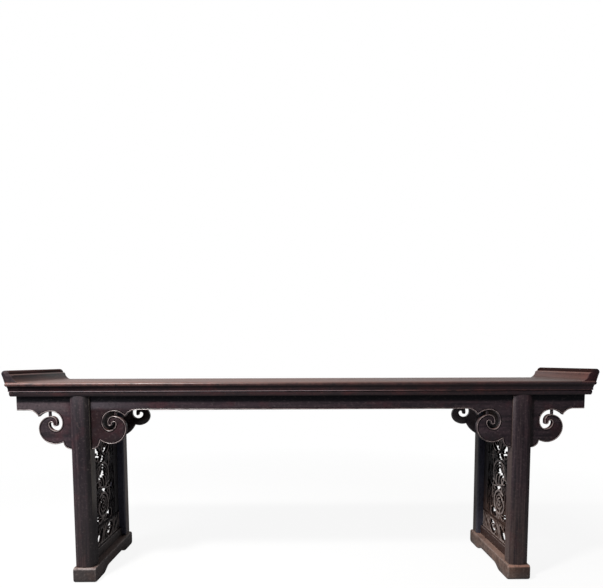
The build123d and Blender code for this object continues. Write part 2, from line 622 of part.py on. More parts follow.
def openwork():
    """The scrolls one above another, each held to the stiles by leaves that sweep round it."""
    bottom = LOWER_RAIL_TOP + PANEL_BELT_HEIGHT + PANEL_BELT
    pitch = (PANEL_TOP - PANEL_HEAD - bottom) / SCROLL_COUNT
    stile = LEG_BACK - PANEL_STILE
    edge = stile + LEAF_ROOT
    radius = pitch / 2 - VINE_WIDTH / 4
    inner = radius * VINE_TAPER
    pieces = []
    for i in range(SCROLL_COUNT):
        turn = 1 if i % 2 else -1
        y = -turn * SCROLL_SWAY
        z = bottom + pitch * (i + 0.5)
        pieces += scroll(y, z, radius, turn)
        high = z + radius - inner
        for angle, rise in ((-50, 0.10), (-20, 0.36), (10, 0.52), (40, 0.50)):
            across, up = cos(radians(angle)), sin(radians(angle))
            near = (y + turn * radius * across, z + radius * up)
            pieces.append(leaf(near, (turn * edge, near[1] + rise * radius), turn * LEAF_BOW, LEAF_WIDTH))
            far = (y - turn * inner * across, high - inner * up)
            far_tip = (-turn * edge, far[1] - rise * radius)
            pieces.append(leaf(far, far_tip, turn * LEAF_BOW, LEAF_WIDTH * LEAF_SWELL))
        base = z - radius
        pieces.append(boss(y, base))
        pieces.append(leaf((y, base), (turn * edge, base + radius * 0.05), turn * LEAF_BOW, LEAF_WIDTH))
        pieces.append(leaf((y, base), (-turn * edge, base + radius * 0.40), -turn * LEAF_BOW, LEAF_WIDTH))
        pieces.append(leaf((y, base), (-turn * edge, base + radius * 0.05), -turn * LEAF_BOW, LEAF_WIDTH))
    return pieces


def fronds():
    """Leaves leaning across the lower band, from the sill to the belt."""
    low = LOWER_RAIL_TOP + PANEL_SILL - LEAF_ROOT
    high = LOWER_RAIL_TOP + PANEL_BELT_HEIGHT + LEAF_ROOT
    span = 2 * (LEG_BACK - PANEL_SILL)
    pitch = span / FROND_COUNT
    pieces = []
    for i in range(FROND_COUNT):
        y = -span / 2 + pitch * (i + 0.5)
        lean = FROND_SLANT / 2
        pieces.append(leaf((y - lean, low), (y + lean, high), -LEAF_BOW, FROND_WIDTH))
        pieces.append(leaf((y + lean, low), (y + lean / 2, high), LEAF_BOW, FROND_WIDTH))
        pieces.append(leaf((y + lean, low), (y - lean, (low + high) / 2), LEAF_BOW, FROND_WIDTH))
    return pieces


def pierced_panel():
    """The right-hand panel: margins, a band of waves below and scrolls above, cut right through."""
    belt = LOWER_RAIL_TOP + PANEL_BELT_HEIGHT
    stile = LEG_BACK - PANEL_STILE
    field = (belt + PANEL_BELT, PANEL_TOP - PANEL_HEAD)
    sill = (LOWER_RAIL_TOP + PANEL_SILL, belt)
    margin = LEG_BACK - PANEL_SILL
    height = PANEL_TOP - LOWER_RAIL_TOP
    face = Pos(0, LOWER_RAIL_TOP + height / 2) * Rectangle(2 * LEG_BACK, height)
    face -= Pos(0, sum(field) / 2) * Rectangle(2 * stile, field[1] - field[0])
    face -= Pos(0, sum(sill) / 2) * Rectangle(2 * margin, sill[1] - sill[0])
    face += openwork() + fronds()
    low = LEG_CENTRE - PANEL_THICKNESS / 2
    board = extrude(Plane.YZ.offset(low) * face, PANEL_THICKNESS, dir=(1, 0, 0))
    rim = panel_tongue(-JOINT_CLEARANCE)
    rim -= block(
        (LEG_CENTRE - PANEL_THICKNESS, LEG_CENTRE + PANEL_THICKNESS), (-LEG_BACK, LEG_BACK),
        (LOWER_RAIL_TOP, PANEL_TOP),
    )
    return board + rim


# --- The pieces ------------------------------------------------------------------------
os.makedirs("parts", exist_ok=True)

rail = long_rail()
save("top_rail_rear", rail)
save("top_rail_front", flip_y(rail))
end = end_piece()
save("top_end_right", end)
save("top_end_left", flip_x(end))
front_board, rear_board = board_pair()
save("top_board_front", front_board)
save("top_board_rear", rear_board)
for i, x in enumerate(batten_positions()):
    save(f"top_batten_{i + 1}", batten(x))

front_cusps = (INNER_REACH - INNER_CUSP_INSET, OUTER_REACH - OUTER_CUSP_INSET)
rear_cusps = (REAR_INNER_REACH - INNER_CUSP_INSET, REAR_OUTER_REACH - OUTER_CUSP_INSET)
save("apron_rear", long_apron(*rear_cusps))
save("apron_front", flip_y(long_apron(*front_cusps)))
save("apron_right", end_apron())
save("apron_left", flip_x(end_apron()))

front_shape = (SCROLL_RADIUS, CURL_TIP_RADIUS, SLOT_TIP_RADIUS, SLOT_EYE_DROP, lobed_edge)
rear_shape = (REAR_SCROLL_RADIUS, REAR_TIP_RADIUS, REAR_SLOT_TIP_RADIUS, REAR_EYE_DROP, swept_edge)
inner_front = flip_y(flip_x(spandrel(INNER_REACH, front_cusps[0], *front_shape)))
outer_front = flip_y(spandrel(OUTER_REACH, front_cusps[1], *front_shape))
inner_rear = flip_x(spandrel(REAR_INNER_REACH, rear_cusps[0], *rear_shape))
outer_rear = spandrel(REAR_OUTER_REACH, rear_cusps[1], *rear_shape)
for name, piece in (
    ("spandrel_inner_front", inner_front),
    ("spandrel_outer_front", outer_front),
    ("spandrel_inner_rear", inner_rear),
    ("spandrel_outer_rear", outer_rear),
):
    piece = Pos(LEG_CENTRE, 0, 0) * piece
    save(f"{name}_right", piece)
    save(f"{name}_left", flip_x(piece))

post = leg()
save("leg_rear_right", post)
save("leg_rear_left", flip_x(post))
save("leg_front_right", flip_y(post))
save("leg_front_left", flip_x(flip_y(post)))

for name, solid in (
    ("foot", foot()),
    ("lower_rail", cross_rail(FOOT_HEIGHT, LOWER_RAIL_TOP)),
    ("upper_rail", cross_rail(PANEL_TOP, UPPER_RAIL_TOP)),
    ("carved_panel", pierced_panel()),
):
    save(f"{name}_right", solid)
    save(f"{name}_left", flip_x(solid))
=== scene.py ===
import math

import bmesh
import bpy
import numpy as np
from mathutils import Matrix, Vector


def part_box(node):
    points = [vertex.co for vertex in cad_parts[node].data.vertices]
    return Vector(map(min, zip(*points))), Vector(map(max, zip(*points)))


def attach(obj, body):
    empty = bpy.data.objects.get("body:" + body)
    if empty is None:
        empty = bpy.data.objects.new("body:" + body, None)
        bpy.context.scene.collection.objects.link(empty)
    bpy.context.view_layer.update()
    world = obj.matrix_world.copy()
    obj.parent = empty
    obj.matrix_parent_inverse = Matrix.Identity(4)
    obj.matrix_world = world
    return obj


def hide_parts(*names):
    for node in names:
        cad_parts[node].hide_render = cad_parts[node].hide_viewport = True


# Everted-end altar table, dressed over its CAD frame.  Places are in millimetres in the
# frame's own axes: X along the table, Y to the rear, Z up, origin on the floor.  Only the
# camera, the lamps and what a shader measures itself (noises, bump, floor) are in metres.

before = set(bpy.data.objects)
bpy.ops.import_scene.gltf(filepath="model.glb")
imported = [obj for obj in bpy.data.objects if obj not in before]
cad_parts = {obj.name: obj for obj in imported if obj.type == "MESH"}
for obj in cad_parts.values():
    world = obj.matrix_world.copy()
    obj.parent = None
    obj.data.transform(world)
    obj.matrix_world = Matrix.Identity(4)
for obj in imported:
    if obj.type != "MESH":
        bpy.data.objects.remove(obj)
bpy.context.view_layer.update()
MM = 0.001

# the top out to the bead, its moulding and flanges
SURFACE = 900.0
BEAD = 18.0
LIP = SURFACE - 40.0
UNDERSIDE = 839.0
HALF_LENGTH = 1289.0
HALF_DEPTH = 244.0
END_FACE = 1223.0
RAIL_FACE = 162.0
BOARD_BOTTOM = 878.0
SEAM = 0.15
CREST = 953.0
LEDGE = 933.5
FLANGE_OUT = 1303.0
FLANGE_END = 239.0
# legs, feet and cross rails
LEG_CENTRE = 977.5
LEG_HALF = 41.5
LEG_FRONT = 229.5
LEG_BACK = 170.0
FOOT_HEIGHT = 68.5
FOOT_END = 237.5
FOOT_HALF = 51.8
LOWER_RAIL_TOP = 112.0
UPPER_RAIL_TOP = 744.0
CROSS_RAIL_HALF = 20.0
# aprons and spandrels
SLAT_FRONT = 212.0
SLAT_BACK = 194.0
SLAT = SLAT_FRONT - SLAT_BACK
APRON_END = 1258.0
APRON_BOTTOM = 776.2
SPANDREL_BOTTOM = APRON_BOTTOM - 174.5
SHOULDER = 46.5
EDGE_BEAD = 2.6
OUTER_CUSP, INNER_CUSP = 1.0, 4.0
# the carved panels
PANEL_TOP = 700.0
PANEL_HALF = 170.0
FIELD_HALF = 124.0
FIELD_TOP = 655.0
BAND_TOP = 205.0
BELT = BAND_TOP - 2.0


# --- Camera, light and floor -----------------------------------------------------------
def add_object(name, data):
    made = bpy.data.objects.new(name, data)
    bpy.context.scene.collection.objects.link(made)
    return made


def make_camera():
    """The photograph's camera, fitted to the table's corners."""
    place = (-0.01921, -2.30563, 0.98695)
    yaw, pitch, roll = 0.00818, 0.07183, -0.0031
    focal_px, width_px, height_px, axis_row = 474.48, 603.0, 588.0, 395.92
    ahead = math.cos(pitch)
    forward = Vector((math.sin(yaw) * ahead, math.cos(yaw) * ahead, -math.sin(pitch)))
    level = Vector((math.cos(yaw), -math.sin(yaw), 0.0))
    upright = level.cross(forward)
    right = math.cos(roll) * level + math.sin(roll) * upright
    up = math.cos(roll) * upright - math.sin(roll) * level
    data = bpy.data.cameras.new("camera")
    data.sensor_fit = "HORIZONTAL"
    data.sensor_width = 36.0
    data.lens = data.sensor_width * focal_px / width_px
    data.shift_y = (axis_row - height_px / 2) / width_px
    data.clip_end = 200.0
    camera = add_object("camera", data)
    turn = Matrix((right, up, -forward)).transposed().to_4x4()
    camera.matrix_world = Matrix.Translation(place) @ turn
    bpy.context.scene.camera = camera


def make_lamp(name, towards, away, size, power, colour):
    """A square lamp that shines on the middle of the table from a direction."""
    data = bpy.data.lights.new(name, "AREA")
    data.shape = "SQUARE"
    data.size = size
    data.energy = power
    data.color = colour
    lamp = add_object(name, data)
    direction = Vector(towards).normalized()
    lamp.location = Vector((0.0, 0.0, 0.6)) + direction * away
    lamp.rotation_euler = direction.to_track_quat("Z", "Y").to_euler()


# --- Node helpers ----------------------------------------------------------------------
def add_node(tree, kind, values=None, **settings):
    """A shader node; each value is a number, a colour or another node's socket."""
    made = tree.nodes.new(kind)
    for key, setting in settings.items():
        setattr(made, key, setting)
    for key, value in (values or {}).items():
        if isinstance(value, bpy.types.NodeSocket):
            tree.links.new(value, made.inputs[key])
        else:
            made.inputs[key].default_value = value
    return made


def noise(tree, vector, scale, detail=4.0, roughness=0.55, distortion=0.0):
    return add_node(tree, "ShaderNodeTexNoise", {
        "Vector": vector, "Scale": scale, "Detail": detail,
        "Roughness": roughness, "Distortion": distortion,
    }).outputs["Fac"]


def span(tree, value, low, high, to_low=0.0, to_high=1.0):
    return add_node(tree, "ShaderNodeMapRange", {
        "Value": value, "From Min": low, "From Max": high, "To Min": to_low, "To Max": to_high,
    }, clamp=True).outputs["Result"]


def maths(tree, operation, *values, clamp=True):
    values = dict(enumerate(values))
    made = add_node(tree, "ShaderNodeMath", values, operation=operation, use_clamp=clamp)
    return made.outputs[0]


def product(tree, first, *others):
    for other in others:
        first = maths(tree, "MULTIPLY", first, other)
    return first


def distance(tree, value, level=0.0):
    """How far a value is from a level."""
    gap = maths(tree, "SUBTRACT", value, level, clamp=False)
    return maths(tree, "ABSOLUTE", gap, clamp=False)


def vector_maths(tree, operation, vector, other):
    values = {0: vector, 1: other}
    return add_node(tree, "ShaderNodeVectorMath", values, operation=operation).outputs[0]


def components(tree, vector):
    parts = add_node(tree, "ShaderNodeSeparateXYZ", {0: vector}).outputs
    return parts["X"], parts["Y"], parts["Z"]


def blend(tree, share, first, second):
    values = {"Factor": share, 6: first, 7: second}
    return add_node(tree, "ShaderNodeMix", values, data_type="RGBA").outputs[2]


def painted(tree, colour, *layers):
    """A colour with others laid over it in turn, each layer a share and its colour."""
    for share, paint in layers:
        colour = blend(tree, share, colour, paint)
    return colour


def srgb(red, green, blue):
    """A linear colour from 8-bit display levels."""
    def linear(level):
        level /= 255.0
        return level / 12.92 if level <= 0.04045 else ((level + 0.055) / 1.055) ** 2.4
    return (linear(red), linear(green), linear(blue), 1.0)


def grey(level):
    return (level, level, level, 1.0)


def new_material(name):
    material = bpy.data.materials.new(name)
    material.use_nodes = True
    tree = material.node_tree
    tree.nodes.clear()
    return material, tree


# --- Tints: what the place on the table adds to its wood, painted light and shade among it ---
# near black for dark seams, grime and painted shade; pale warm for dusting and a painted sheen on what
# faces up; rubbed pale lacquer that is also a painted highlight
GRIME_AND_SHADE = srgb(16, 13, 15)
DUST_AND_SHEEN = srgb(162, 128, 116)
RUBBED_PALE_AND_HIGHLIGHT = srgb(148, 142, 148)


def coordinates(tree, place):
    """A place's coordinates in millimetres."""
    return components(tree, vector_maths(tree, "MULTIPLY", place, [1.0 / MM] * 3))


def from_leg(tree, x):
    """Distance along the table from the middle of the nearer leg."""
    return distance(tree, distance(tree, x), LEG_CENTRE)


def at_left(tree, x, share=1.0):
    """The share at the left trestle and beyond it, nothing elsewhere."""
    return span(tree, x, -500.0, -600.0, 0.0, share)


def at_right(tree, x, share=1.0):
    return span(tree, x, 500.0, 600.0, 0.0, share)


def to_right(tree, x, least=0.0):
    """One on the right half, the least on the left half."""
    return span(tree, x, -200.0, 200.0, least, 1.0)


def apron_tint(tree, place, colour):
    """Painted shadow under the top and beside the legs; a painted sheen at the left end; painted shade
    at the rear left and painted light at the rear right; the left inner scroll red.
    """
    x, y, z = coordinates(tree, place)
    mottle = noise(tree, place, 16.0, 5.0, 0.7, 0.5)
    rear = span(tree, y, 0.0, 100.0)
    # the left end paler: a painted sheen
    dust_and_sheen = product(tree, span(tree, x, -1020.0, -1050.0), span(tree, z, 755.0, 785.0, 0.06, 0.5))
    inside = product(tree, span(tree, x, -900.0, -680.0, 1.0, 0.0), span(tree, x, -980.0, -930.0))
    red = product(tree, span(tree, mottle, 0.40, 0.60, 0.6, 1.0), span(tree, z, 786.0, 774.0))
    return painted(
        tree, colour,
        # painted shade on the rear left, painted light on the rear right
        (product(tree, rear, at_left(tree, x, 0.9)), srgb(10, 11, 16)),
        (product(tree, rear, at_right(tree, x, 0.7)), srgb(112, 106, 110)),
        (dust_and_sheen, srgb(94, 84, 88)),
        (product(tree, inside, red), srgb(34, 12, 15)),
        (product(tree, inside, span(tree, z, 778.0, 790.0, 0.0, 0.6)), srgb(84, 78, 84)),
        # painted shadow of the legs on the spandrels beside them
        (span(tree, from_leg(tree, x), LEG_HALF - 1.0, LEG_HALF + 4.5, 0.92, 0.0), GRIME_AND_SHADE),
        # painted shadow of the top's overhang
        (span(tree, z, UNDERSIDE - 31.0, UNDERSIDE - 20.0, 0.0, 0.96), srgb(14, 17, 27)),
    )


def leg_tint(tree, place, colour):
    """Purple and grey streaks, browner towards the feet, the left legs a little darker; painted shade on
    the left front leg's inner bevel and a cool one on the rear legs' fronts; the legs' sides paler with
    a painted sheen, each with its own.
    """
    x, y, z = coordinates(tree, place)
    stretched = vector_maths(tree, "MULTIPLY", place, (150.0, 150.0, 2.6))
    streak = noise(tree, stretched, 1.0, 4.0, 0.6, 0.3)
    left, right = at_left(tree, x), at_right(tree, x)
    front, rear = span(tree, y, 100.0, 0.0), span(tree, y, 100.0, 150.0)
    low = product(
        tree, span(tree, z, 100.0, 460.0, 0.7, 0.0), span(tree, x, -900.0, 900.0, 0.4, 0.9),
        span(tree, streak, 0.40, 0.56, 0.1, 1.0),
    )
    # painted shade on the left front leg's inner bevel
    shaded_inner_bevel = product(tree, span(tree, x, -962.0, -950.0), left, front)
    # a cool painted shade on the fronts of the rear legs
    rear_cool_shade = product(tree, rear, span(tree, y, 205.0, 185.0))
    # a pale painted sheen on the front legs' inner sides and the rear legs' sides
    on_side = span(tree, from_leg(tree, x), LEG_HALF - 1.3, LEG_HALF - 0.3)
    inner_side = product(
        tree, on_side, front, span(tree, x, -960.0, -950.0), span(tree, x, 960.0, 950.0),
    )
    left_inner_side = product(tree, inner_side, left, span(tree, z, 270.0, 380.0, 0.0, 0.62))
    return painted(
        tree, colour,
        (span(tree, streak, 0.54, 0.70, 0.0, 0.7), srgb(80, 66, 69)),
        (span(tree, streak, 0.46, 0.30, 0.0, 0.6), srgb(24, 21, 26)),
        (low, srgb(98, 82, 76)),
        (product(tree, left, 0.2), GRIME_AND_SHADE),
        (product(tree, shaded_inner_bevel, 0.92), GRIME_AND_SHADE),
        (product(tree, rear_cool_shade, 0.6), srgb(72, 80, 100)),
        (left_inner_side, srgb(114, 108, 99)),
        (product(tree, inner_side, right, 0.34), srgb(106, 89, 82)),
        (product(tree, on_side, rear, left, 0.7), srgb(130, 123, 117)),
        (product(tree, on_side, rear, right, 0.7), srgb(96, 92, 88)),
    )


def foot_tint(tree, place, colour):
    """The left foot greyer, the right one browner with reddish patches; the shoulders rubbed and given a
    painted highlight.
    """
    x, y, z = coordinates(tree, place)
    right = to_right(tree, x)
    patch = noise(tree, place, 12.0, 5.0, 0.65, 0.6)
    fine = noise(tree, place, 70.0, 3.0, 0.6)
    # shoulders: rubbed, and a painted highlight
    shoulder = product(
        tree, span(tree, distance(tree, y), FOOT_END - 9.0, FOOT_END - 5.0),
        span(tree, z, FOOT_HEIGHT - 10.0, FOOT_HEIGHT - 6.0), span(tree, fine, 0.34, 0.56, 0.15, 0.8),
    )
    return painted(
        tree, colour,
        (span(tree, right, 1.0, 0.0, 0.0, 0.6), srgb(58, 55, 56)),
        (product(tree, right, span(tree, patch, 0.35, 0.65, 0.3, 0.85)), srgb(130, 106, 94)),
        (product(tree, right, span(tree, patch, 0.58, 0.70, 0.0, 0.7)), srgb(138, 78, 58)),
        (product(tree, right, span(tree, patch, 0.50, 0.38, 0.0, 0.65)), srgb(70, 50, 42)),
        (product(tree, right, span(tree, z, 45.0, 12.0, 0.0, 0.5)), srgb(92, 86, 84)),
        (shoulder, blend(tree, right, srgb(150, 141, 140), srgb(166, 122, 106))),
    )


def panel_tint(tree, place, colour):
    """A pale front stile; painted shadow darkens the panel near black towards the rear, and painted
    light makes it reddish low on the right.
    """
    x, y, z = coordinates(tree, place)
    # painted light, reddish, low on the right panel
    low = product(tree, span(tree, z, 240.0, 400.0, 0.6, 0.0), to_right(tree, x))
    stile = product(
        tree, span(tree, y, 5.0 - FIELD_HALF, 1.0 - FIELD_HALF),
        span(tree, z, BAND_TOP - 5.0, BAND_TOP + 35.0),
    )
    return painted(
        tree, colour,
        # painted shadow towards the rear
        (span(tree, y, -10.0, 130.0, 0.0, 0.82), srgb(20, 22, 28)),
        (low, srgb(92, 66, 54)),
        (product(tree, stile, 0.85), srgb(106, 101, 92)),
    )


def top_tint(tree, place, colour):
    """Dark seams round and between the boards; painted shade on the right part of the edge; a warm right
    flange.
    """
    x, y, z = coordinates(tree, place)
    far_x, far_y = distance(tree, x), distance(tree, y)
    seams = [
        (span(tree, distance(tree, far, seam), 1.6, 0.7, 0.0, 0.85), GRIME_AND_SHADE)
        for far, seam in ((far_x, END_FACE), (far_y, RAIL_FACE), (far_y, 0.0))
    ]
    # painted shade along the right part of the bead
    edge = product(tree, span(tree, x, 600.0, 1150.0), span(tree, z, SURFACE - 1.0, SURFACE - 10.0))
    flange = product(
        tree, span(tree, x, 1200.0, 1240.0), span(tree, z, SURFACE + 2.0, SURFACE + 12.0),
        span(tree, y, 2.0 - FLANGE_END, 8.0 - FLANGE_END),
    )
    return painted(
        tree, colour, *seams,
        (product(tree, edge, 0.65), srgb(47, 38, 45)),
        (product(tree, flange, 0.34), srgb(138, 86, 74)),
    )


def rail_tint(tree, place, colour):
    """Cross rails: dark on the left, brown on the right."""
    x = coordinates(tree, place)[0]
    shade = blend(tree, to_right(tree, x), srgb(30, 28, 31), srgb(52, 31, 25))
    return blend(tree, to_right(tree, x, 0.6), colour, shade)


# --- Materials -------------------------------------------------------------------------
def make_wood(name, axis, base, deep, warm, worn, gloss=0.42, dust_and_sheen_share=0.25, seed=0.0, tint=None):
    """Old dark lacquer over open-grained wood; the grain runs along an axis."""
    material, tree = new_material(name)
    whole = add_node(tree, "ShaderNodeTexCoord").outputs["Object"]
    place = vector_maths(tree, "ADD", whole, (seed, seed * 1.7, seed * 2.3))
    grain_scale = [3.0 if i == axis else 55.0 for i in range(3)]
    pore_scale = [22.0 if i == axis else 620.0 for i in range(3)]
    grain = noise(tree, vector_maths(tree, "MULTIPLY", place, grain_scale), 1.0, 6.0, 0.62, 0.6)
    pores = noise(tree, vector_maths(tree, "MULTIPLY", place, pore_scale), 1.0, 3.0, 0.7)
    patches = noise(tree, place, 7.0, 5.0, 0.6, 0.4)
    clouds = noise(tree, place, 2.3, 3.0, 0.5)
    blotch = noise(tree, place, 38.0, 4.0, 0.65)
    speckle = noise(tree, place, 110.0, 3.0, 0.6)

    colour = painted(
        tree, deep,
        (span(tree, grain, 0.36, 0.64), base),
        (span(tree, patches, 0.52, 0.72, 0.0, 0.8), warm),
        (span(tree, pores, 0.60, 0.74, 0.0, 0.55), deep),
    )
    if tint:
        colour = tint(tree, whole, colour)

    # dusting and a painted sheen lie on what faces up; the lacquer is rubbed through on the edges,
    # palest, as a painted highlight, where the value passes one; grime and painted shade fill grooves
    # and hollows where it is below nothing
    normal = add_node(tree, "ShaderNodeNewGeometry").outputs["Normal"]
    up = components(tree, normal)[2]
    dust_and_sheen = product(tree, span(tree, up, 0.25, 0.95, 0.0, dust_and_sheen_share), span(tree, clouds, 0.3, 0.7, 0.45, 1.0))
    wear_and_painted_light = add_node(tree, "ShaderNodeAttribute", attribute_name="wear_and_painted_light").outputs["Fac"]
    rub_and_highlight = product(tree, span(tree, wear_and_painted_light, 0.0, 1.0), span(tree, blotch, 0.32, 0.58))
    grime_and_shade = span(tree, wear_and_painted_light, 0.0, -1.0)
    colour = painted(
        tree, colour,
        (span(tree, speckle, 0.56, 0.72, 0.0, 0.16), worn),
        (span(tree, speckle, 0.46, 0.32, 0.0, 0.5), deep),
        (dust_and_sheen, DUST_AND_SHEEN),
        (rub_and_highlight, worn),
        (span(tree, wear_and_painted_light, 0.75, 1.5), RUBBED_PALE_AND_HIGHLIGHT),
        (grime_and_shade, GRIME_AND_SHADE),
    )

    rough = span(tree, pores, 0.3, 0.8, gloss - 0.06, gloss + 0.12)
    rough = maths(tree, "ADD", rough, product(tree, dust_and_sheen, 0.5))
    rough = maths(tree, "SUBTRACT", rough, product(tree, rub_and_highlight, 0.12))
    shine = span(tree, grime_and_shade, 0.0, 0.6, 0.5, 0.03)
    shine = maths(tree, "SUBTRACT", shine, product(tree, dust_and_sheen, 0.7))
    height = maths(tree, "ADD", product(tree, grain, 0.6), product(tree, pores, 0.4))
    bump = add_node(tree, "ShaderNodeBump", {"Strength": 0.35, "Distance": 0.0006, "Height": height})
    shader = add_node(tree, "ShaderNodeBsdfPrincipled", {
        "Base Color": colour, "Roughness": rough, "Normal": bump.outputs["Normal"],
        "IOR": 1.5, "Specular IOR Level": shine,
    })
    add_node(tree, "ShaderNodeOutputMaterial", {"Surface": shader.outputs[0]})
    return material


def make_floor_material():
    """A matt floor that the camera sees pale and that fades into the background."""
    material, tree = new_material("studio_floor")
    place = add_node(tree, "ShaderNodeTexCoord").outputs["Object"]
    pale = blend(tree, noise(tree, place, 3.0, 2.0), grey(0.86), grey(0.88))
    camera_ray = add_node(tree, "ShaderNodeLightPath").outputs["Is Camera Ray"]
    colour = blend(tree, camera_ray, (0.24, 0.23, 0.24, 1.0), pale)
    matt = add_node(tree, "ShaderNodeBsdfDiffuse", {"Color": colour}).outputs[0]
    glow = add_node(tree, "ShaderNodeEmission", {"Color": grey(1.0), "Strength": 1.0}).outputs[0]
    far = add_node(tree, "ShaderNodeVectorMath", {0: place}, operation="LENGTH").outputs["Value"]
    share = product(tree, camera_ray, span(tree, far, 1.6, 3.2, 0.90, 1.0))
    mixed = add_node(tree, "ShaderNodeMixShader", {0: share, 1: matt, 2: glow}).outputs[0]
    add_node(tree, "ShaderNodeOutputMaterial", {"Surface": mixed})
    return material


def make_world():
    """A white studio, brighter behind the table; the camera sees it plain white."""
    world = bpy.data.worlds.new("studio")
    bpy.context.scene.world = world
    world.use_nodes = True
    tree = world.node_tree
    tree.nodes.clear()
    towards = add_node(tree, "ShaderNodeTexCoord").outputs["Generated"]
    soft = span(tree, components(tree, towards)[1], -0.1, 0.9, 0.06, 0.85)
    camera_ray = add_node(tree, "ShaderNodeLightPath").outputs["Is Camera Ray"]
    strength = maths(tree, "MAXIMUM", soft, camera_ray)
    back = add_node(tree, "ShaderNodeBackground", {"Color": grey(1.0), "Strength": strength})
    add_node(tree, "ShaderNodeOutputWorld", {"Surface": back.outputs[0]})


# --- Mesh helpers ----------------------------------------------------------------------
def tidy_normals(mesh):
    work = bmesh.new()
    work.from_mesh(mesh)
    bmesh.ops.recalc_face_normals(work, faces=work.faces)
    work.to_mesh(mesh)
    work.free()
    mesh.shade_smooth()
    mesh.set_sharp_from_angle(angle=math.radians(32.0))


def set_wear_and_painted_light(mesh, values):
    """How worn each point is, with its painted light: above nothing rubbed and partly a painted
    highlight, below nothing grimy and painted shade.
    """
    layer = mesh.attributes.new("wear_and_painted_light", "FLOAT", "POINT")
    layer.data.foreach_set("value", np.asarray(values, np.float32))


def make_piece(name, points, faces, wear_and_painted_light=None):
    """A mesh object from points in millimetres."""
    mesh = bpy.data.meshes.new(name)
    places = [tuple(point) for point in np.asarray(points, float) * MM]
    mesh.from_pydata(places, [], [tuple(face) for face in faces])
    if wear_and_painted_light is not None:
        set_wear_and_painted_light(mesh, wear_and_painted_light)
    tidy_normals(mesh)
    return add_object(name, mesh)


def mark(piece, rule):
    """Sets how worn each point is, with its painted light, from its place in millimetres."""
    mesh = piece.data
    if "wear_and_painted_light" in mesh.attributes:
        mesh.attributes.remove(mesh.attributes["wear_and_painted_light"])
    places = np.empty(len(mesh.vertices) * 3)
    mesh.vertices.foreach_get("co", places)
    set_wear_and_painted_light(mesh, rule(*(places.reshape(-1, 3) / MM).T))


def edge_wear_and_painted_light(x, y, z):
    """How worn the top is, with its painted light: bead and lip rubbed and partly a painted highlight,
    most at the left; painted shade under the bead and on the flanges.
    """
    ends = (-HALF_LENGTH, 0.0, HALF_LENGTH)
    out = np.maximum(np.abs(x) - HALF_LENGTH, np.abs(y) - HALF_DEPTH)
    on_bead = (out > -6.5) & (z > SURFACE - BEAD + 1.0) & (z < SURFACE - 0.5)
    on_lip = (out > -9.0) & (np.abs(z - LIP) < 2.0)
    # bead and lip: rubbed, partly a painted highlight, strongest at the left
    bead = np.interp(x, ends, (0.54, 0.24, 0.0))
    lip = np.interp(x, (-HALF_LENGTH, 0.0, 500.0, HALF_LENGTH), (1.5, 1.6, 1.05, 0.2))
    # painted shade in the hollow under the bead, darkest at the left
    below = np.interp(x, ends, (-0.62, -0.26, -0.07)) * np.where(z < LIP - 3.0, 0.35, 1.0)
    below = np.where(z < SURFACE - BEAD + 0.5, below, 0.0)
    edge = np.where(on_bead, bead, np.where(on_lip, lip, below))

    # painted shade on the flanges' inner faces and on the right flange's ends
    high = z > LEDGE + 3.5
    inner = np.where(x < 0.0, np.where(high, -0.62, -0.40), np.where(high, -0.85, -0.30))
    inner += np.where(np.abs(z - LEDGE) < 2.0, 0.25, 0.0)
    flange = z > SURFACE + 2.5
    capped = np.abs(y) >= FLANGE_END - 0.5
    wear_and_painted_light = np.where(flange & ~capped, inner, edge)
    return np.where(flange & capped & (x > 0.0), -0.3, wear_and_painted_light)


def mirrored(piece, name, flip_x, flip_y):
    """A copy of a piece, mirrored or not."""
    mesh = piece.data.copy()
    mesh.name = name
    mesh.transform(Matrix.Diagonal((-1.0 if flip_x else 1.0, -1.0 if flip_y else 1.0, 1.0, 1.0)))
    if flip_x != flip_y:
        mesh.flip_normals()
    return add_object(name, mesh)


def joined(pieces):
    """One object from several, the first one kept."""
    first = pieces[0]
    with bpy.context.temp_override(active_object=first, selected_editable_objects=pieces):
        bpy.ops.object.join()
    return first


def evaluated_mesh(piece):
    graph = bpy.context.evaluated_depsgraph_get()
    return bpy.data.meshes.new_from_object(piece.evaluated_get(graph))


def united(first, second):
    """The exact union of two closed pieces."""
    modifier = first.modifiers.new("union", "BOOLEAN")
    modifier.operation = "UNION"
    modifier.solver = "EXACT"
    modifier.object = second
    result = evaluated_mesh(first)
    first.modifiers.clear()
    first.data = result
    bpy.data.objects.remove(second)
    tidy_normals(result)
    return first


def round_box(name, low, high, radius, wear_and_painted_light=0.6):
    """A block with rounded edges, worn along them."""
    work = bmesh.new()
    bmesh.ops.create_cube(work, size=1.0)
    low, high = Vector(low), Vector(high)
    for v in work.verts:
        v.co = Vector([(low[i] + high[i]) / 2 + v.co[i] * (high[i] - low[i]) for i in range(3)]) * MM
    made = bmesh.ops.bevel(
        work, geom=list(work.edges), offset=radius * MM, segments=2, profile=0.5, affect="EDGES",
    )
    soft = set(made["faces"])
    layer = work.verts.layers.float.new("wear_and_painted_light")
    for v in work.verts:
        if all(f in soft for f in v.link_faces):
            v[layer] = wear_and_painted_light
    mesh = bpy.data.meshes.new(name)
    work.to_mesh(mesh)
    work.free()
    tidy_normals(mesh)
    return add_object(name, mesh)


PLANES = {
    "XY": Matrix.Identity(4),
    "XZ": Matrix(((1, 0, 0, 0), (0, 0, 1, 0), (0, 1, 0, 0), (0, 0, 0, 1))),
    "YZ": Matrix(((0, 0, 1, 0), (1, 0, 0, 0), (0, 1, 0, 0), (0, 0, 0, 1))),
}


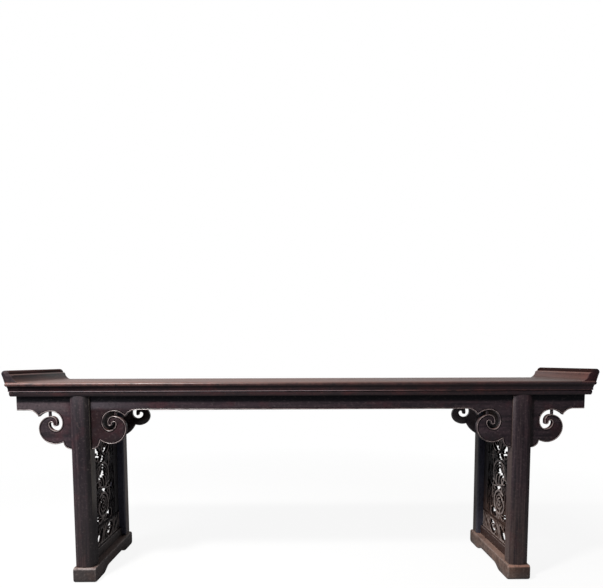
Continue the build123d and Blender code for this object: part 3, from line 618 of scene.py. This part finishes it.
def plate(name, outline, plane, start, end, radius, wear_and_painted_light=0.6):
    """A closed outline made thick from start to end along the plane's normal, rims rounded."""
    curve = bpy.data.curves.new(name, "CURVE")
    curve.dimensions = "2D"
    curve.fill_mode = "BOTH"
    curve.extrude = ((end - start) / 2 - radius) * MM
    curve.bevel_depth = radius * MM
    curve.bevel_resolution = 1
    curve.offset = -radius * MM
    line = curve.splines.new("POLY")
    line.points.add(len(outline) - 1)
    for point, (a, b) in zip(line.points, outline):
        point.co = (a * MM, b * MM, 0.0, 1.0)
    line.use_cyclic_u = True
    holder = add_object(name, curve)
    mesh = evaluated_mesh(holder)
    bpy.data.objects.remove(holder)
    mesh.name = name
    work = bmesh.new()
    work.from_mesh(mesh)
    bmesh.ops.remove_doubles(work, verts=work.verts, dist=1e-6)
    layer = work.verts.layers.float.new("wear_and_painted_light")
    half = (end - start) / 2 * MM
    for v in work.verts:
        if half - radius * MM * 0.95 < abs(v.co.z) < half - radius * MM * 0.05:
            v[layer] = wear_and_painted_light
    work.to_mesh(mesh)
    work.free()
    mesh.transform(PLANES[plane] @ Matrix.Translation((0.0, 0.0, (start + end) / 2 * MM)))
    tidy_normals(mesh)
    return add_object(name, mesh)


def lofted(count, ring):
    """Faces of a closed skin through so many sections of so many points, with its two ends."""
    faces = []
    for i in range(count - 1):
        here, there = i * ring, (i + 1) * ring
        for k in range(ring):
            n = (k + 1) % ring
            faces.append((here + k, here + n, there + n, there + k))
    return faces + [tuple(range(ring)), tuple(range((count - 1) * ring, count * ring))]


def left_of(path):
    """Unit steps to the left of an open path, one at each of its points."""
    before, after = np.roll(path, 1, 0), np.roll(path, -1, 0)
    before[0], after[-1] = path[0], path[-1]
    tangent = after - before
    tangent /= np.maximum(np.linalg.norm(tangent, axis=1, keepdims=True), 1e-9)
    return np.stack([-tangent[:, 1], tangent[:, 0]], 1)


def make_bead(path, face):
    """A half-round bead, rubbed pale and partly a painted highlight, along a path in X and Z on a rear
    face; beside it a flat dark skirt of painted shade stands in for a groove.
    """
    half, rise, groove = 2.3, 2.2, 3.0
    angles = np.linspace(0.0, math.pi, 6)
    section = [(math.cos(a) * half, math.sin(a) * rise - 0.3) for a in angles]
    section += [(0.2 - half, 0.25), (-half - groove, 0.2), (-half - groove, -1.0), (0.0, -1.0)]
    path = np.asarray(path, float)
    side = left_of(path)
    points = np.empty((len(path), len(section), 3))
    for k, (across, out) in enumerate(section):
        points[:, k, [0, 2]] = path + side * across
        points[:, k, 1] = face + out
    wear_and_painted_light = np.zeros(points.shape[:2])
    # the bead rubbed pale, partly a painted highlight; the skirt dark, a painted shade in place of a
    # groove
    wear_and_painted_light[:, 1:5] = 0.8
    wear_and_painted_light[:, 5:9] = -0.9
    faces = lofted(len(path), len(section))
    return make_piece("bead", points.reshape(-1, 3), faces, wear_and_painted_light.ravel())


# --- Outlines --------------------------------------------------------------------------
def arc(centre, across, up, start, sweep, steps):
    """Points along a circle or ellipse, angles in degrees."""
    angles = np.radians(np.linspace(start, start + sweep, steps + 1))
    return [(centre[0] + across * math.cos(a), centre[1] + up * math.sin(a)) for a in angles]


def tangent_arc(start, end, tangent, steps):
    """Points along the arc that leaves start in a direction and passes through end."""
    start, end, tangent = map(np.array, (start, end, tangent))
    normal = np.array([-tangent[1], tangent[0]], float)
    chord = end - start
    radius = chord @ chord / (2 * (chord @ normal))
    centre = start + normal * radius
    first = math.atan2(*(start - centre)[::-1])
    sweep = math.atan2(*(end - centre)[::-1]) - first
    sweep = sweep % math.tau if radius > 0 else -(-sweep % math.tau)
    return arc(centre, abs(radius), abs(radius), math.degrees(first), math.degrees(sweep), steps)


def through(start, middle, end, steps):
    """Points along the circle through three points."""
    (ax, ay), (bx, by), (cx, cy) = start, middle, end
    a, b, c = ax * ax + ay * ay, bx * bx + by * by, cx * cx + cy * cy
    d = 2 * (ax * (by - cy) + bx * (cy - ay) + cx * (ay - by))
    ux = (a * (by - cy) + b * (cy - ay) + c * (ay - by)) / d
    uy = (a * (cx - bx) + b * (ax - cx) + c * (bx - ax)) / d
    radius = math.hypot(ax - ux, ay - uy)
    first, mid, last = (math.atan2(y - uy, x - ux) for x, y in (start, middle, end))
    sweep = (last - first) % math.tau
    if (mid - first) % math.tau > sweep:
        sweep -= math.tau
    return arc((ux, uy), radius, radius, math.degrees(first), math.degrees(sweep), steps)


def moulding():
    """The edge's section as (inset from the bead, height), from the surface down."""
    quirk, lip = (-6.0, SURFACE - BEAD), (-8.5, LIP)
    step, foot = (-12.5, LIP), (-14.5, UNDERSIDE)
    hollow = ((quirk[0] + lip[0]) / 2 - 1.6, (quirk[1] + lip[1]) / 2)
    swell = ((step[0] + foot[0]) / 2 + 2.0, (step[1] + foot[1]) / 2)
    points = through((-BEAD / 2, SURFACE), (-0.05, SURFACE - BEAD / 2), quirk, 12)
    points += through(quirk, hollow, (lip[0] - 0.4, lip[1] + 0.8), 8)[1:]
    points += [(lip[0], lip[1] + 0.5), (lip[0] - 0.2, lip[1] + 0.1), (lip[0] - 0.7, lip[1])]
    points += [(step[0] + 0.3, step[1]), (step[0], step[1] - 0.6)]
    points += through((step[0], step[1] - 0.6), swell, foot, 6)[1:-1]
    return points + [(foot[0] + 0.2, foot[1] + 0.8), (foot[0] - 0.7, foot[1])]


def flange_profile():
    """The right flange's section: up its inner slope, over ledge and crest, down its outside."""
    crest, out = (1287.0, CREST - 0.1), (FLANGE_OUT - 0.1, 938.0)
    points = through((1234.0, SURFACE), (1250.5, 911.5), (1259.0, 931.0), 10)
    points += [(1259.8, 932.4), (1261.2, 933.2), (1266.8, 935.6), (1268.2, 936.6)]
    points += through((1268.9, 937.8), (1271.2, 943.6), (1275.6, 948.5), 4)
    points += tangent_arc(crest, (1276.4, 949.2), (-1.0, 0.0), 8)[::-1]
    points += tangent_arc(crest, out, (1.0, 0.0), 8)[1:]
    points += through(out, (1296.0, 917.0), (1290.5, 897.0), 6)[1:]
    points += arc((HALF_LENGTH - 9.0, SURFACE - 9.0), 9.0, 9.0, 15, -60, 5)
    return points + [(1270.0, 888.0), (1240.0, 893.0)]


def lobed_edge(reach, scroll_z):
    """The lower edge of a front spandrel right of a leg's middle, up to the scroll's side."""
    belly, lobe = 70.0, 35.0
    belly_x, notch_x = reach - belly, LEG_HALF + 40.0
    notch_z = scroll_z - math.sqrt(belly ** 2 - (notch_x - belly_x) ** 2)
    notch = math.degrees(math.atan2(notch_z - scroll_z, notch_x - belly_x))
    points = [(0.0, SPANDREL_BOTTOM)]
    points += arc((notch_x - lobe, notch_z), lobe, notch_z - SPANDREL_BOTTOM, 270, 90, 10)
    return points + arc((belly_x, scroll_z), belly, belly, notch, -notch, 26)[1:]


def swept_edge(reach, scroll_z):
    """The lower edge of a rear spandrel, with its slanting tail."""
    across, up, sag = 55.5, 51.0, 7.0
    low = (reach - across, scroll_z - up)
    notch = np.array([low[0] - 23.5, low[1] + 4.0])
    tail = np.array([LEG_HALF, SPANDREL_BOTTOM])
    lean = notch - tail
    middle = (tail + notch) / 2 + np.array([lean[1], -lean[0]]) / np.linalg.norm(lean) * sag
    points = [(0.0, SPANDREL_BOTTOM)]
    points += through(tail, middle, notch, 8)
    points += tangent_arc(low, notch, (-1.0, 0.0), 5)[::-1][1:]
    return points + arc((low[0], scroll_z), across, up, 270, 90, 16)[1:]


def spandrel_outline(reach, cusp_inset, radius, tip_radius, slot_radius, eye_drop, lower_edge):
    """The carved edge of a spandrel right of a leg's middle, from the leg to the apron."""
    curl, crown, eye = 27.2, 48.5, 27.5
    scroll_top = APRON_BOTTOM - 26.0
    crown_z = scroll_top + 20.5
    scroll_x, scroll_z = reach - radius, scroll_top - radius
    tip = (scroll_x - curl + tip_radius, scroll_top - 35.7)
    slot = (tip[0] + tip_radius + slot_radius, tip[1])
    back = (scroll_x, crown_z - crown)
    eye_x, eye_z = scroll_x - crown + eye, tip[1] - eye_drop
    cusp = (reach - cusp_inset, APRON_BOTTOM - 28.0)
    shoulder = (cusp[0] + SHOULDER, APRON_BOTTOM)
    points = lower_edge(reach, scroll_z)
    points += arc((scroll_x, scroll_z), radius, radius, 0, 90, 16)[1:]
    points += arc((scroll_x, scroll_top - curl), curl, curl, 90, 90, 12)[1:]
    points += arc(tip, tip_radius, tip_radius, 180, 180, 12)
    points += arc(slot, slot_radius, slot_radius, 180, -180, 10)[1:]
    points += arc((eye_x, tip[1]), slot[0] + slot_radius - eye_x, eye_drop, 0, -90, 12)[1:]
    points += arc((eye_x, back[1]), eye, back[1] - eye_z, 270, -90, 12)[1:]
    points += arc(back, crown, crown, 180, -90, 14)[1:]
    points += tangent_arc((scroll_x, crown_z), cusp, (1.0, 0.0), 10)[1:]
    points += tangent_arc(shoulder, cusp, (-1.0, 0.0), 10)[::-1][1:]
    return points, ((scroll_x + 3.0, scroll_x + 12.0), (scroll_top - 6.5, crown_z + 3.0))


# --- Carving ---------------------------------------------------------------------------
PITCH = 2.0
DEPTH_PITCH = 1.5
PIERCED = -3.0
# pierced eyes that the strands keep clear of: middle y, middle z, half width, half height, slant
EYES = (
    (-78, 557, 20, 26, -15), (-10, 516, 16, 5, 0), (-30, 437, 17, 11, 0), (-66, 406, 20, 7, 0),
    (-8, 357, 34, 12, 0), (40, 378, 20, 7, 0), (40, 226, 32, 14, 14), (-62, 227, 14, 4, 0),
    (-66, 150, 18, 34, -48), (54, 172, 24, 7, 4), (42, 134, 28, 10, 0), (-50, 527, 16, 8, 20),
)
RINGED = (1, 2)  # the eyes that stems go round already
# the middle, lower and upper scrolls: middle y, middle z, radius, way round
SCROLLS = ((-12, 437, 66, 1), (-20, 292, 62, -1), (22, 585, 52, -1))


def spiral(centre, first, last, start, sweep, wide, high, taper):
    """A strand that winds from one radius to another about a centre."""
    turns = np.linspace(0.0, 1.0, max(8, int(abs(sweep) / 9)))
    angles = np.radians(start + sweep * turns)
    radii = first + (last - first) * turns ** 0.85
    path = np.stack([centre[0] + radii * np.cos(angles), centre[1] + radii * np.sin(angles)], 1)
    return path, wide * (1.0 - (1.0 - taper) * turns), high


def leaf(start, heading, length, bend, hook, wide, high):
    """A comma-shaped leaf: it leaves a point in a direction and bends into its hooked tip."""
    steps = np.linspace(0.0, 1.0, 18)
    angles = np.radians(heading + bend * steps + hook * steps ** 4)
    moves = np.stack([np.cos(angles), np.sin(angles)], 1) * length / 17
    path = np.array(start) + np.vstack([[0.0, 0.0], np.cumsum(moves[:-1], 0)])
    return path, wide * (0.35 + 0.65 * np.sin(np.pi * np.clip(steps * 0.85 + 0.12, 0, 1))), high


def trimmed(strand, gap):
    """A list of the strand up to where it meets an eye, or of nothing if little is left."""
    path, wide, high = strand
    keep = np.ones(len(path), bool)
    for y, z, across, up, slant in EYES:
        turn = math.radians(slant)
        dy, dz = path[:, 0] - y, path[:, 1] - z
        a = (dy * math.cos(turn) + dz * math.sin(turn)) / (across + gap)
        b = (dz * math.cos(turn) - dy * math.sin(turn)) / (up + gap)
        keep &= a * a + b * b > 1.0
    count = len(path) if keep.all() else int(np.argmin(keep))
    if count < 7:
        return []
    narrowing = np.clip(np.linspace((count + 1) / 3, 0.3, count), 0.0, 1.0)
    return [(path[:count], wide[:count] * narrowing, high)]


def main_strands():
    """The three scrolls with the stems between them, as (path, half widths, height)."""
    middle, lower, upper = [scroll[:2] for scroll in SCROLLS]
    drawn = [
        spiral(middle, 64, 58, -75, 330, 8.0, 8.5, 0.9),
        spiral(middle, 47, 42, 5, 175, 5.0, 7.6, 0.8),
        spiral(middle, 33, 29, 10, 150, 4.2, 7.0, 0.8),
        leaf((-16, 378), 70, 56, 50, 60, 9.0, 8.0),
        leaf((14, 384), 70, 56, 50, 90, 8.0, 8.2),
        leaf((38, 404), 90, 50, 60, 60, 7.5, 7.6),
        leaf((-66, 420), -70, 44, 60, 70, 6.5, 7.6),
        spiral(lower, 60, 53, 130, -330, 8.0, 8.5, 0.9),
        spiral(lower, 42, 30, 170, -330, 6.5, 8.0, 0.8),
        spiral(lower, 22, 7, 100, -400, 6.0, 8.4, 0.8),
        spiral(upper, 50, 44, 250, -330, 8.0, 8.5, 0.8),
        spiral(upper, 32, 8, 230, -430, 6.5, 8.0, 0.7),
        leaf((-4, 203), 150, 80, -95, 0, 8.0, 8.0),
        leaf((52, 300), 75, 96, 40, 20, 7.5, 8.0),
        leaf((50, 470), 60, 90, 60, 30, 7.5, 8.0),
        leaf((-84, 420), 100, 84, -50, -60, 7.0, 7.6),
    ]
    # feathers round the lower scroll's boss
    for degrees in range(0, 360, 40):
        at = math.radians(degrees + 15)
        root = (lower[0] + 22 * math.cos(at), lower[1] + 22 * math.sin(at))
        drawn.append(leaf(root, degrees + 60, 34, -40, -30, 4.6, 6.6))
    return drawn


def eye_strands():
    """Curls round the other eyes, with a leaf into each large one."""
    drawn = []
    for number, (y, z, across, up, slant) in enumerate(EYES):
        if number in RINGED:
            continue
        first = 30 + 77 * number
        sweep = np.radians(np.linspace(first, first + 285, 26))
        uneven = 1.0 + 0.14 * np.sin(3 * sweep + 1.9 * number)
        a, b = (across + 7) * uneven * np.cos(sweep), (up + 7) * uneven * np.sin(sweep)
        cos, sin = math.cos(math.radians(slant)), math.sin(math.radians(slant))
        path = np.stack([y + a * cos - b * sin, z + a * sin + b * cos], 1)
        drawn.append((path, np.linspace(6.0, 3.2, 26), 8.2))
        if across * up > 250:
            heading = 200 + 70 * number
            at = math.radians(heading)
            rim = (y + across * math.cos(at), z + up * math.sin(at))
            drawn.append(leaf(rim, heading + 150, 0.9 * min(across, up) + 8, 50, 60, 3.6, 7.0))
    return drawn


def ground_strands():
    """Leaves that fill the ground along the scrolls."""
    drawn = []
    for row, level in enumerate(range(212, 656, 18), 1):
        for column in range(-120 + 11 * (row % 2), 126, 22):
            y = column + 5.0 * math.sin(column * 1.7 + level * 0.9)
            z = level + 5.0 * math.sin(column * 0.6 - level * 1.3)
            cy, cz, radius, way = min(SCROLLS, key=lambda s: math.hypot(y - s[0], z - s[1]) - s[2])
            if math.hypot(y - cy, z - cz) < radius - 3:
                continue
            heading = math.degrees(math.atan2(z - cz, y - cy)) + 62 * way
            length = 40 + 7 * math.sin(level * 1.1)
            bend = 55 * way + 25 * math.sin(column + level)
            drawn += trimmed(leaf((y, z), heading, length, bend, 80 * way, 6.6, 6.6), 5.0)
    return drawn


def band_strands():
    """Rocks and waves of the lower band."""
    drawn = []
    for k in range(18):
        y = -166 + 19.5 * k
        heading, bend = 64 + 12 * math.sin(k * 2.1), -24 + 14 * math.sin(k * 1.3)
        drawn += trimmed(leaf((y, 112), heading, 98, bend, -40, 7.5, 7.8), 6.0)
        heading = 236 + 12 * math.sin(k * 1.7)
        drawn += trimmed(leaf((y + 20, 205), heading, 60, 50, 60, 6.6, 7.4), 6.0)
        for low, lift in ((118, 12), (140, 5), (162, -6), (184, 0)):
            heading = 16 + lift + 18 * math.sin(k * 1.9 + low)
            drawn += trimmed(leaf((y + 8, low), heading, 40, 60, 90, 5.8, 6.8), 5.0)
    return drawn


def frame_height(y, z):
    """The plain stiles, belt and borders that carry the openwork."""
    def edge(inside, round_off=3.0):
        return np.minimum(inside, round_off) / round_off
    stile = np.where(z > BAND_TOP - 6, edge(np.abs(y) - FIELD_HALF + 3), -1)
    high = edge(z - FIELD_TOP + 3)
    low = edge(LOWER_RAIL_TOP + 7 - z)
    belt = edge(5.0 - np.abs(z - BELT))
    side = edge(np.abs(y) - PANEL_HALF + 8)
    best = np.maximum.reduce([stile, high, low, belt * 1.08, side])
    return np.maximum(best * 8.2, PIERCED)


def relief(drawn, y, z):
    """Half the thickness of the carving over the panel, below nothing where it is pierced."""
    spots = np.stack([y.ravel(), z.ravel()], 1)
    height = np.full(len(spots), PIERCED)
    for path, wide, high in drawn:
        reach = wide.max() + 4
        near = ((spots > path.min(0) - reach) & (spots < path.max(0) + reach)).all(1)
        here = spots[near]
        best = np.full(len(here), 9.0)
        for a, b, wide_a, wide_b in zip(path[:-1], path[1:], wide[:-1], wide[1:]):
            run = b - a
            t = np.clip(((here - a) @ run) / (run @ run), 0, 1)
            gap = np.linalg.norm(here - a - t[:, None] * run, axis=1)
            best = np.minimum(best, gap / (wide_a + (wide_b - wide_a) * t))
        profile = high * (1.0 - best ** 4) - 1.6 * np.exp(-(best / 0.16) ** 2)
        height[near] = np.maximum(height[near], profile)
    return height.reshape(y.shape)


def surface_net(field, origin, step):
    """Points and quads of the surface where a sampled field changes sign."""
    inside = field < 0
    cells = np.array(field.shape) - 1
    total, count = np.zeros((cells.prod(), 3)), np.zeros(cells.prod())
    squares = []
    for axis in range(3):
        low = tuple(slice(0, -1) if k == axis else slice(None) for k in range(3))
        high = tuple(slice(1, None) if k == axis else slice(None) for k in range(3))
        spots = np.argwhere(inside[low] != inside[high])
        first, second = field[low][tuple(spots.T)], field[high][tuple(spots.T)]
        places = spots.astype(float)
        places[:, axis] += first / (first - second)
        across, up = [k for k in range(3) if k != axis]
        around = []
        for a, b in ((0, 0), (-1, 0), (-1, -1), (0, -1)):
            cell = spots.copy()
            cell[:, across] += a
            cell[:, up] += b
            flat = np.ravel_multi_index(tuple(cell.T), tuple(cells), mode="clip")
            around.append(flat)
            for k in range(3):
                total[:, k] += np.bincount(flat, places[:, k], len(count))
            count += np.bincount(flat, minlength=len(count))
        squares.append(np.stack(around, 1))
    used = count > 0
    number = np.cumsum(used) - 1
    points = np.array(origin) + total[used] / count[used, None] * np.array(step)
    return points, number[np.vstack(squares)]


def make_panel():
    """The pierced and carved panel of a trestle, both faces alike."""
    xs = np.arange(-10.5, 10.6, DEPTH_PITCH)
    ys = np.arange(-PANEL_HALF - PITCH, PANEL_HALF + PITCH + 0.1, PITCH)
    zs = np.arange(LOWER_RAIL_TOP - 3.0, PANEL_TOP + 3.1, PITCH)
    y, z = np.meshgrid(ys, zs, indexing="ij")
    drawn = main_strands() + eye_strands() + ground_strands() + band_strands()
    half = np.maximum(relief(drawn, y, z), frame_height(y, z))
    rim = np.maximum(np.abs(y) - PANEL_HALF, np.maximum(z - PANEL_TOP, LOWER_RAIL_TOP - z))
    field = np.maximum(np.abs(xs)[:, None, None] - half, rim)
    points, faces = surface_net(field, (xs[0], ys[0], zs[0]), (DEPTH_PITCH, PITCH, PITCH))

    # what stands out is rubbed, partly a painted highlight, and what lies deep gets grime and painted
    # shade; the belt is kept dark, the stiles and top border unrubbed
    x, y, z = points.T
    wear_and_painted_light = np.clip((np.abs(x) - 6.3) / 1.5, -0.95, 0.9)
    wear_and_painted_light = np.where(np.abs(z - BELT) < 6.0, np.minimum(wear_and_painted_light, -0.55), wear_and_painted_light)
    stile = (np.abs(y) > FIELD_HALF - 3) & (z > BAND_TOP - 6)
    wear_and_painted_light = np.where(stile | (z > FIELD_TOP - 3), np.minimum(wear_and_painted_light, 0.05), wear_and_painted_light)
    points[:, 0] += LEG_CENTRE
    return make_piece("carved_panel", points, faces, wear_and_painted_light)


# --- Pieces, each made for the right end and the rear ----------------------------------
def make_rail():
    """A long rail of the top, with the moulded edge."""
    section = [(HALF_DEPTH + o, z) for o, z in moulding()]
    section += [(RAIL_FACE + 0.6, UNDERSIDE), (RAIL_FACE, UNDERSIDE + 0.6)]
    section += [(RAIL_FACE, SURFACE - 0.8), (RAIL_FACE + 0.8, SURFACE)]
    stations = np.linspace(SEAM - END_FACE, END_FACE - SEAM, 124)
    points = [(x, y, z) for x in stations for y, z in section]
    return make_piece("rail", points, lofted(len(stations), len(section)))


def make_end():
    """An end piece: the moulding on three sides and the flange above."""
    levels = moulding()
    points = []
    along, cross = 6, 24
    inner = END_FACE + SEAM
    for o, z in levels:
        x_out, y_out = HALF_LENGTH + o, HALF_DEPTH + o
        ring = [(x, -y_out) for x in np.linspace(inner, x_out, along, endpoint=False)]
        ring += [(x_out, y) for y in np.linspace(-y_out, y_out, cross, endpoint=False)]
        ring += [(x, y_out) for x in np.linspace(x_out, inner, along, endpoint=False)]
        ring += [(inner, y) for y in np.linspace(y_out, -y_out, cross, endpoint=False)]
        points += [(x, y, z) for x, y in ring]
    body = make_piece("end", points, lofted(len(levels), 2 * (along + cross)))
    flange = plate("flange", flange_profile(), "XZ", -FLANGE_END, FLANGE_END, 1.2)
    return united(body, flange)


def make_leg():
    left, right = LEG_CENTRE - LEG_HALF, LEG_CENTRE + LEG_HALF
    face, bevel, corner = LEG_FRONT - 2.0, LEG_FRONT - 8.0, 8.0
    outline = through((left + 17.0, face), (LEG_CENTRE, LEG_FRONT), (right - 17.0, face), 12)
    outline += [(right - 16.0, face - 0.3), (right - 1.0, bevel + 0.4), (right, bevel - 0.8)]
    outline += arc((right - corner, LEG_BACK + corner), corner, corner, 0, -90, 6)
    outline += arc((left + corner, LEG_BACK + corner), corner, corner, 270, -90, 6)
    outline += [(left, bevel - 0.8), (left + 1.0, bevel + 0.4), (left + 16.0, face - 0.3)]
    return plate("leg", outline, "XY", FOOT_HEIGHT, UNDERSIDE, 0.8, 0.5)


def make_foot():
    shoulder, toe = 13.0, 15.0
    pad, arch, rise = FOOT_END - 96.0, FOOT_END - 156.0, 20.0
    half = arc((FOOT_END - shoulder, FOOT_HEIGHT - shoulder), shoulder, shoulder, 90, -90, 8)
    half += arc((FOOT_END - toe, toe), toe, toe, 0, -90, 8)
    for t in np.linspace(0.0, 1.0, 13):
        half.append((pad + (arch - pad) * t, rise * (1.0 - math.cos(math.pi * t)) / 2))
    outline = half + [(-y, z) for y, z in half[::-1]]
    return plate("foot", outline, "YZ", LEG_CENTRE - FOOT_HALF, LEG_CENTRE + FOOT_HALF, 7.0, 0.3)


def make_spandrel(way, *shape):
    """A spandrel with its link and bead; way is 1 outside the leg and -1 inside."""
    outline, (link_x, link_z) = spandrel_outline(*shape)
    top = APRON_BOTTOM + 14.0
    end = outline[-1][0]
    whole = outline + [(end, APRON_BOTTOM), (end, top), (0.0, top)]
    whole = [(LEG_CENTRE + way * x, z) for x, z in whole]
    body = plate("spandrel", whole, "XZ", SLAT_BACK, SLAT_FRONT - 0.4, 1.0)
    link_left, link_right = sorted(LEG_CENTRE + way * x for x in link_x)
    low = (link_left, SLAT_BACK + 1.5, link_z[0])
    high = (link_right, SLAT_FRONT - 3.0, link_z[1])
    link = round_box("link", low, high, 1.5)
    edge = np.array(outline[1:])
    line = (edge + left_of(edge) * EDGE_BEAD) * (way, 1.0) + (LEG_CENTRE, 0.0)
    return joined([body, link, make_bead(line[::-way], SLAT_FRONT - 0.4)])


def make_apron(outer_reach, inner_reach):
    """A long apron, beaded along its straight lower edges between the spandrels' ends."""
    ends = [(-APRON_END, SLAT_FRONT), (APRON_END, SLAT_FRONT)]
    ends += [(APRON_END - SLAT, SLAT_BACK), (SLAT - APRON_END, SLAT_BACK)]
    pieces = [plate("apron", ends, "XY", APRON_BOTTOM, UNDERSIDE, 1.0)]
    inner = LEG_CENTRE - (inner_reach - INNER_CUSP) - SHOULDER
    outer = LEG_CENTRE + (outer_reach - OUTER_CUSP) + SHOULDER
    z = APRON_BOTTOM + EDGE_BEAD
    for x0, x1 in ((-inner, inner), (outer, APRON_END - 1.0), (1.0 - APRON_END, -outer)):
        pieces.append(make_bead([(x1, z), (x0, z)], SLAT_FRONT - 0.2))
    return joined(pieces)


def make_end_apron():
    ends = [(APRON_END, -SLAT_FRONT), (APRON_END, SLAT_FRONT)]
    ends += [(APRON_END - SLAT, SLAT_BACK), (APRON_END - SLAT, -SLAT_BACK)]
    return plate("end_apron", ends, "XY", APRON_BOTTOM, UNDERSIDE, 1.0)


def make_cross_rail(name, bottom, top):
    low = (LEG_CENTRE - CROSS_RAIL_HALF, -LEG_BACK, bottom)
    return round_box(name, low, (LEG_CENTRE + CROSS_RAIL_HALF, LEG_BACK, top), 2.5, 0.5)


# --- Assembly --------------------------------------------------------------------------
# where copies go: the name's ending, mirrored in X or not, mirrored in Y or not
ROWS = (("front", False, True), ("rear", False, False))
SIDES = (("left", True, False), ("right", False, False))
CORNERS = [(f"{row}_{side}", x, y) for row, _, y in ROWS for side, x, _ in SIDES]


def dress(piece, material, node):
    piece.data.materials.clear()
    piece.data.materials.append(material)
    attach(piece, "root")
    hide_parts(node)


def copies(piece, base, places, material, rule=None):
    """Dresses a copy of a piece for each place, then drops the piece."""
    for ending, flip_x, flip_y in places:
        node = f"{base}_{ending}"
        copy = mirrored(piece, "vis_" + node, flip_x, flip_y)
        if rule:
            mark(copy, rule)
        dress(copy, material, node)
    bpy.data.objects.remove(piece)


TOP_LOOK = dict(
    base=srgb(53, 40, 43), deep=srgb(26, 20, 24), warm=srgb(72, 38, 41), worn=srgb(130, 86, 77),
)
DARK_LOOK = dict(
    base=srgb(55, 43, 49), deep=srgb(27, 22, 28), warm=srgb(74, 38, 43), worn=srgb(142, 128, 126),
)
FOOT_LOOK = dict(
    base=srgb(84, 71, 67), deep=srgb(48, 40, 40), warm=srgb(98, 70, 56), worn=srgb(172, 160, 156),
)
CARVED_LOOK = dict(
    base=srgb(42, 38, 41), deep=srgb(14, 13, 17), warm=srgb(58, 44, 42), worn=srgb(150, 138, 132),
)
wood_top_x = make_wood("wood_top_x", 0, **TOP_LOOK, gloss=0.40, dust_and_sheen_share=0.35, seed=1.0, tint=top_tint)
wood_top_y = make_wood("wood_top_y", 1, **TOP_LOOK, gloss=0.40, dust_and_sheen_share=0.30, seed=2.0, tint=top_tint)
wood_x = make_wood("wood_x", 0, **DARK_LOOK, gloss=0.36, seed=3.0, tint=apron_tint)
wood_y = make_wood("wood_y", 1, **DARK_LOOK, gloss=0.36, seed=4.0)
wood_z = make_wood("wood_z", 2, **DARK_LOOK, gloss=0.36, seed=5.0, tint=leg_tint)
wood_foot = make_wood("wood_foot", 1, **FOOT_LOOK, gloss=0.55, dust_and_sheen_share=0.30, seed=6.0, tint=foot_tint)
wood_rail = make_wood("wood_rail", 1, **FOOT_LOOK, gloss=0.5, dust_and_sheen_share=0.05, seed=8.0, tint=rail_tint)
wood_carved = make_wood("wood_carved", 2, **CARVED_LOOK, dust_and_sheen_share=0.3, seed=7.0, tint=panel_tint)

copies(make_rail(), "top_rail", ROWS, wood_top_x, edge_wear_and_painted_light)
copies(make_end(), "top_end", SIDES, wood_top_y, edge_wear_and_painted_light)
for name, y0, y1 in (("top_board_front", -RAIL_FACE, 0.0), ("top_board_rear", 0.0, RAIL_FACE)):
    low, high = (-END_FACE, y0 + SEAM, BOARD_BOTTOM), (END_FACE, y1 - SEAM, SURFACE)
    dress(round_box("vis_" + name, low, high, 0.8, 0.3), wood_top_x, name)
for i in range(7):
    name = f"top_batten_{i + 1}"
    low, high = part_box(name)
    low, high = (low.x / MM, -RAIL_FACE, low.z / MM), (high.x / MM, RAIL_FACE, BOARD_BOTTOM)
    dress(round_box("vis_" + name, low, high, 1.5, 0.2), wood_y, name)

# each row's long apron and spandrels: outer reach, inner reach, then how the spandrels curl
FRONT = (187.5, 198.5, (55.5, 9.5, 8.4, 29.0, lobed_edge))
REAR = (170.0, 176.5, (44.0, 7.0, 11.0, 22.5, swept_edge))
for rows, corners, (outer_reach, inner_reach, shape) in (
    (ROWS[:1], CORNERS[:2], FRONT), (ROWS[1:], CORNERS[2:], REAR),
):
    copies(make_apron(outer_reach, inner_reach), "apron", rows, wood_x)
    outer = make_spandrel(1, outer_reach, OUTER_CUSP, *shape)
    copies(outer, "spandrel_outer", corners, wood_x)
    inner = make_spandrel(-1, inner_reach, INNER_CUSP, *shape)
    copies(inner, "spandrel_inner", corners, wood_x)
copies(make_end_apron(), "apron", SIDES, wood_y)

copies(make_leg(), "leg", CORNERS, wood_z)
copies(make_foot(), "foot", SIDES, wood_foot)
for name, bottom, top in (
    ("lower_rail", FOOT_HEIGHT, LOWER_RAIL_TOP), ("upper_rail", PANEL_TOP, UPPER_RAIL_TOP),
):
    copies(make_cross_rail(name, bottom, top), name, SIDES, wood_rail)
copies(make_panel(), "carved_panel", SIDES, wood_carved)

# --- Stage -----------------------------------------------------------------------------
FAR = 40000.0
square = [(-FAR, -FAR, -0.5), (FAR, -FAR, -0.5), (FAR, FAR, -0.5), (-FAR, FAR, -0.5)]
floor = make_piece("floor", square, [(0, 1, 2, 3)])
floor.data.materials.append(make_floor_material())
make_world()
make_lamp("key", (-0.85, -1.0, 1.58), 4.0, 0.45, 205.0, (1.0, 0.98, 0.95))
make_lamp("side", (-1.5, -0.75, 1.0), 3.2, 1.2, 40.0, (0.96, 0.97, 1.0))
make_camera()
bpy.context.scene.view_settings.view_transform = "Standard"
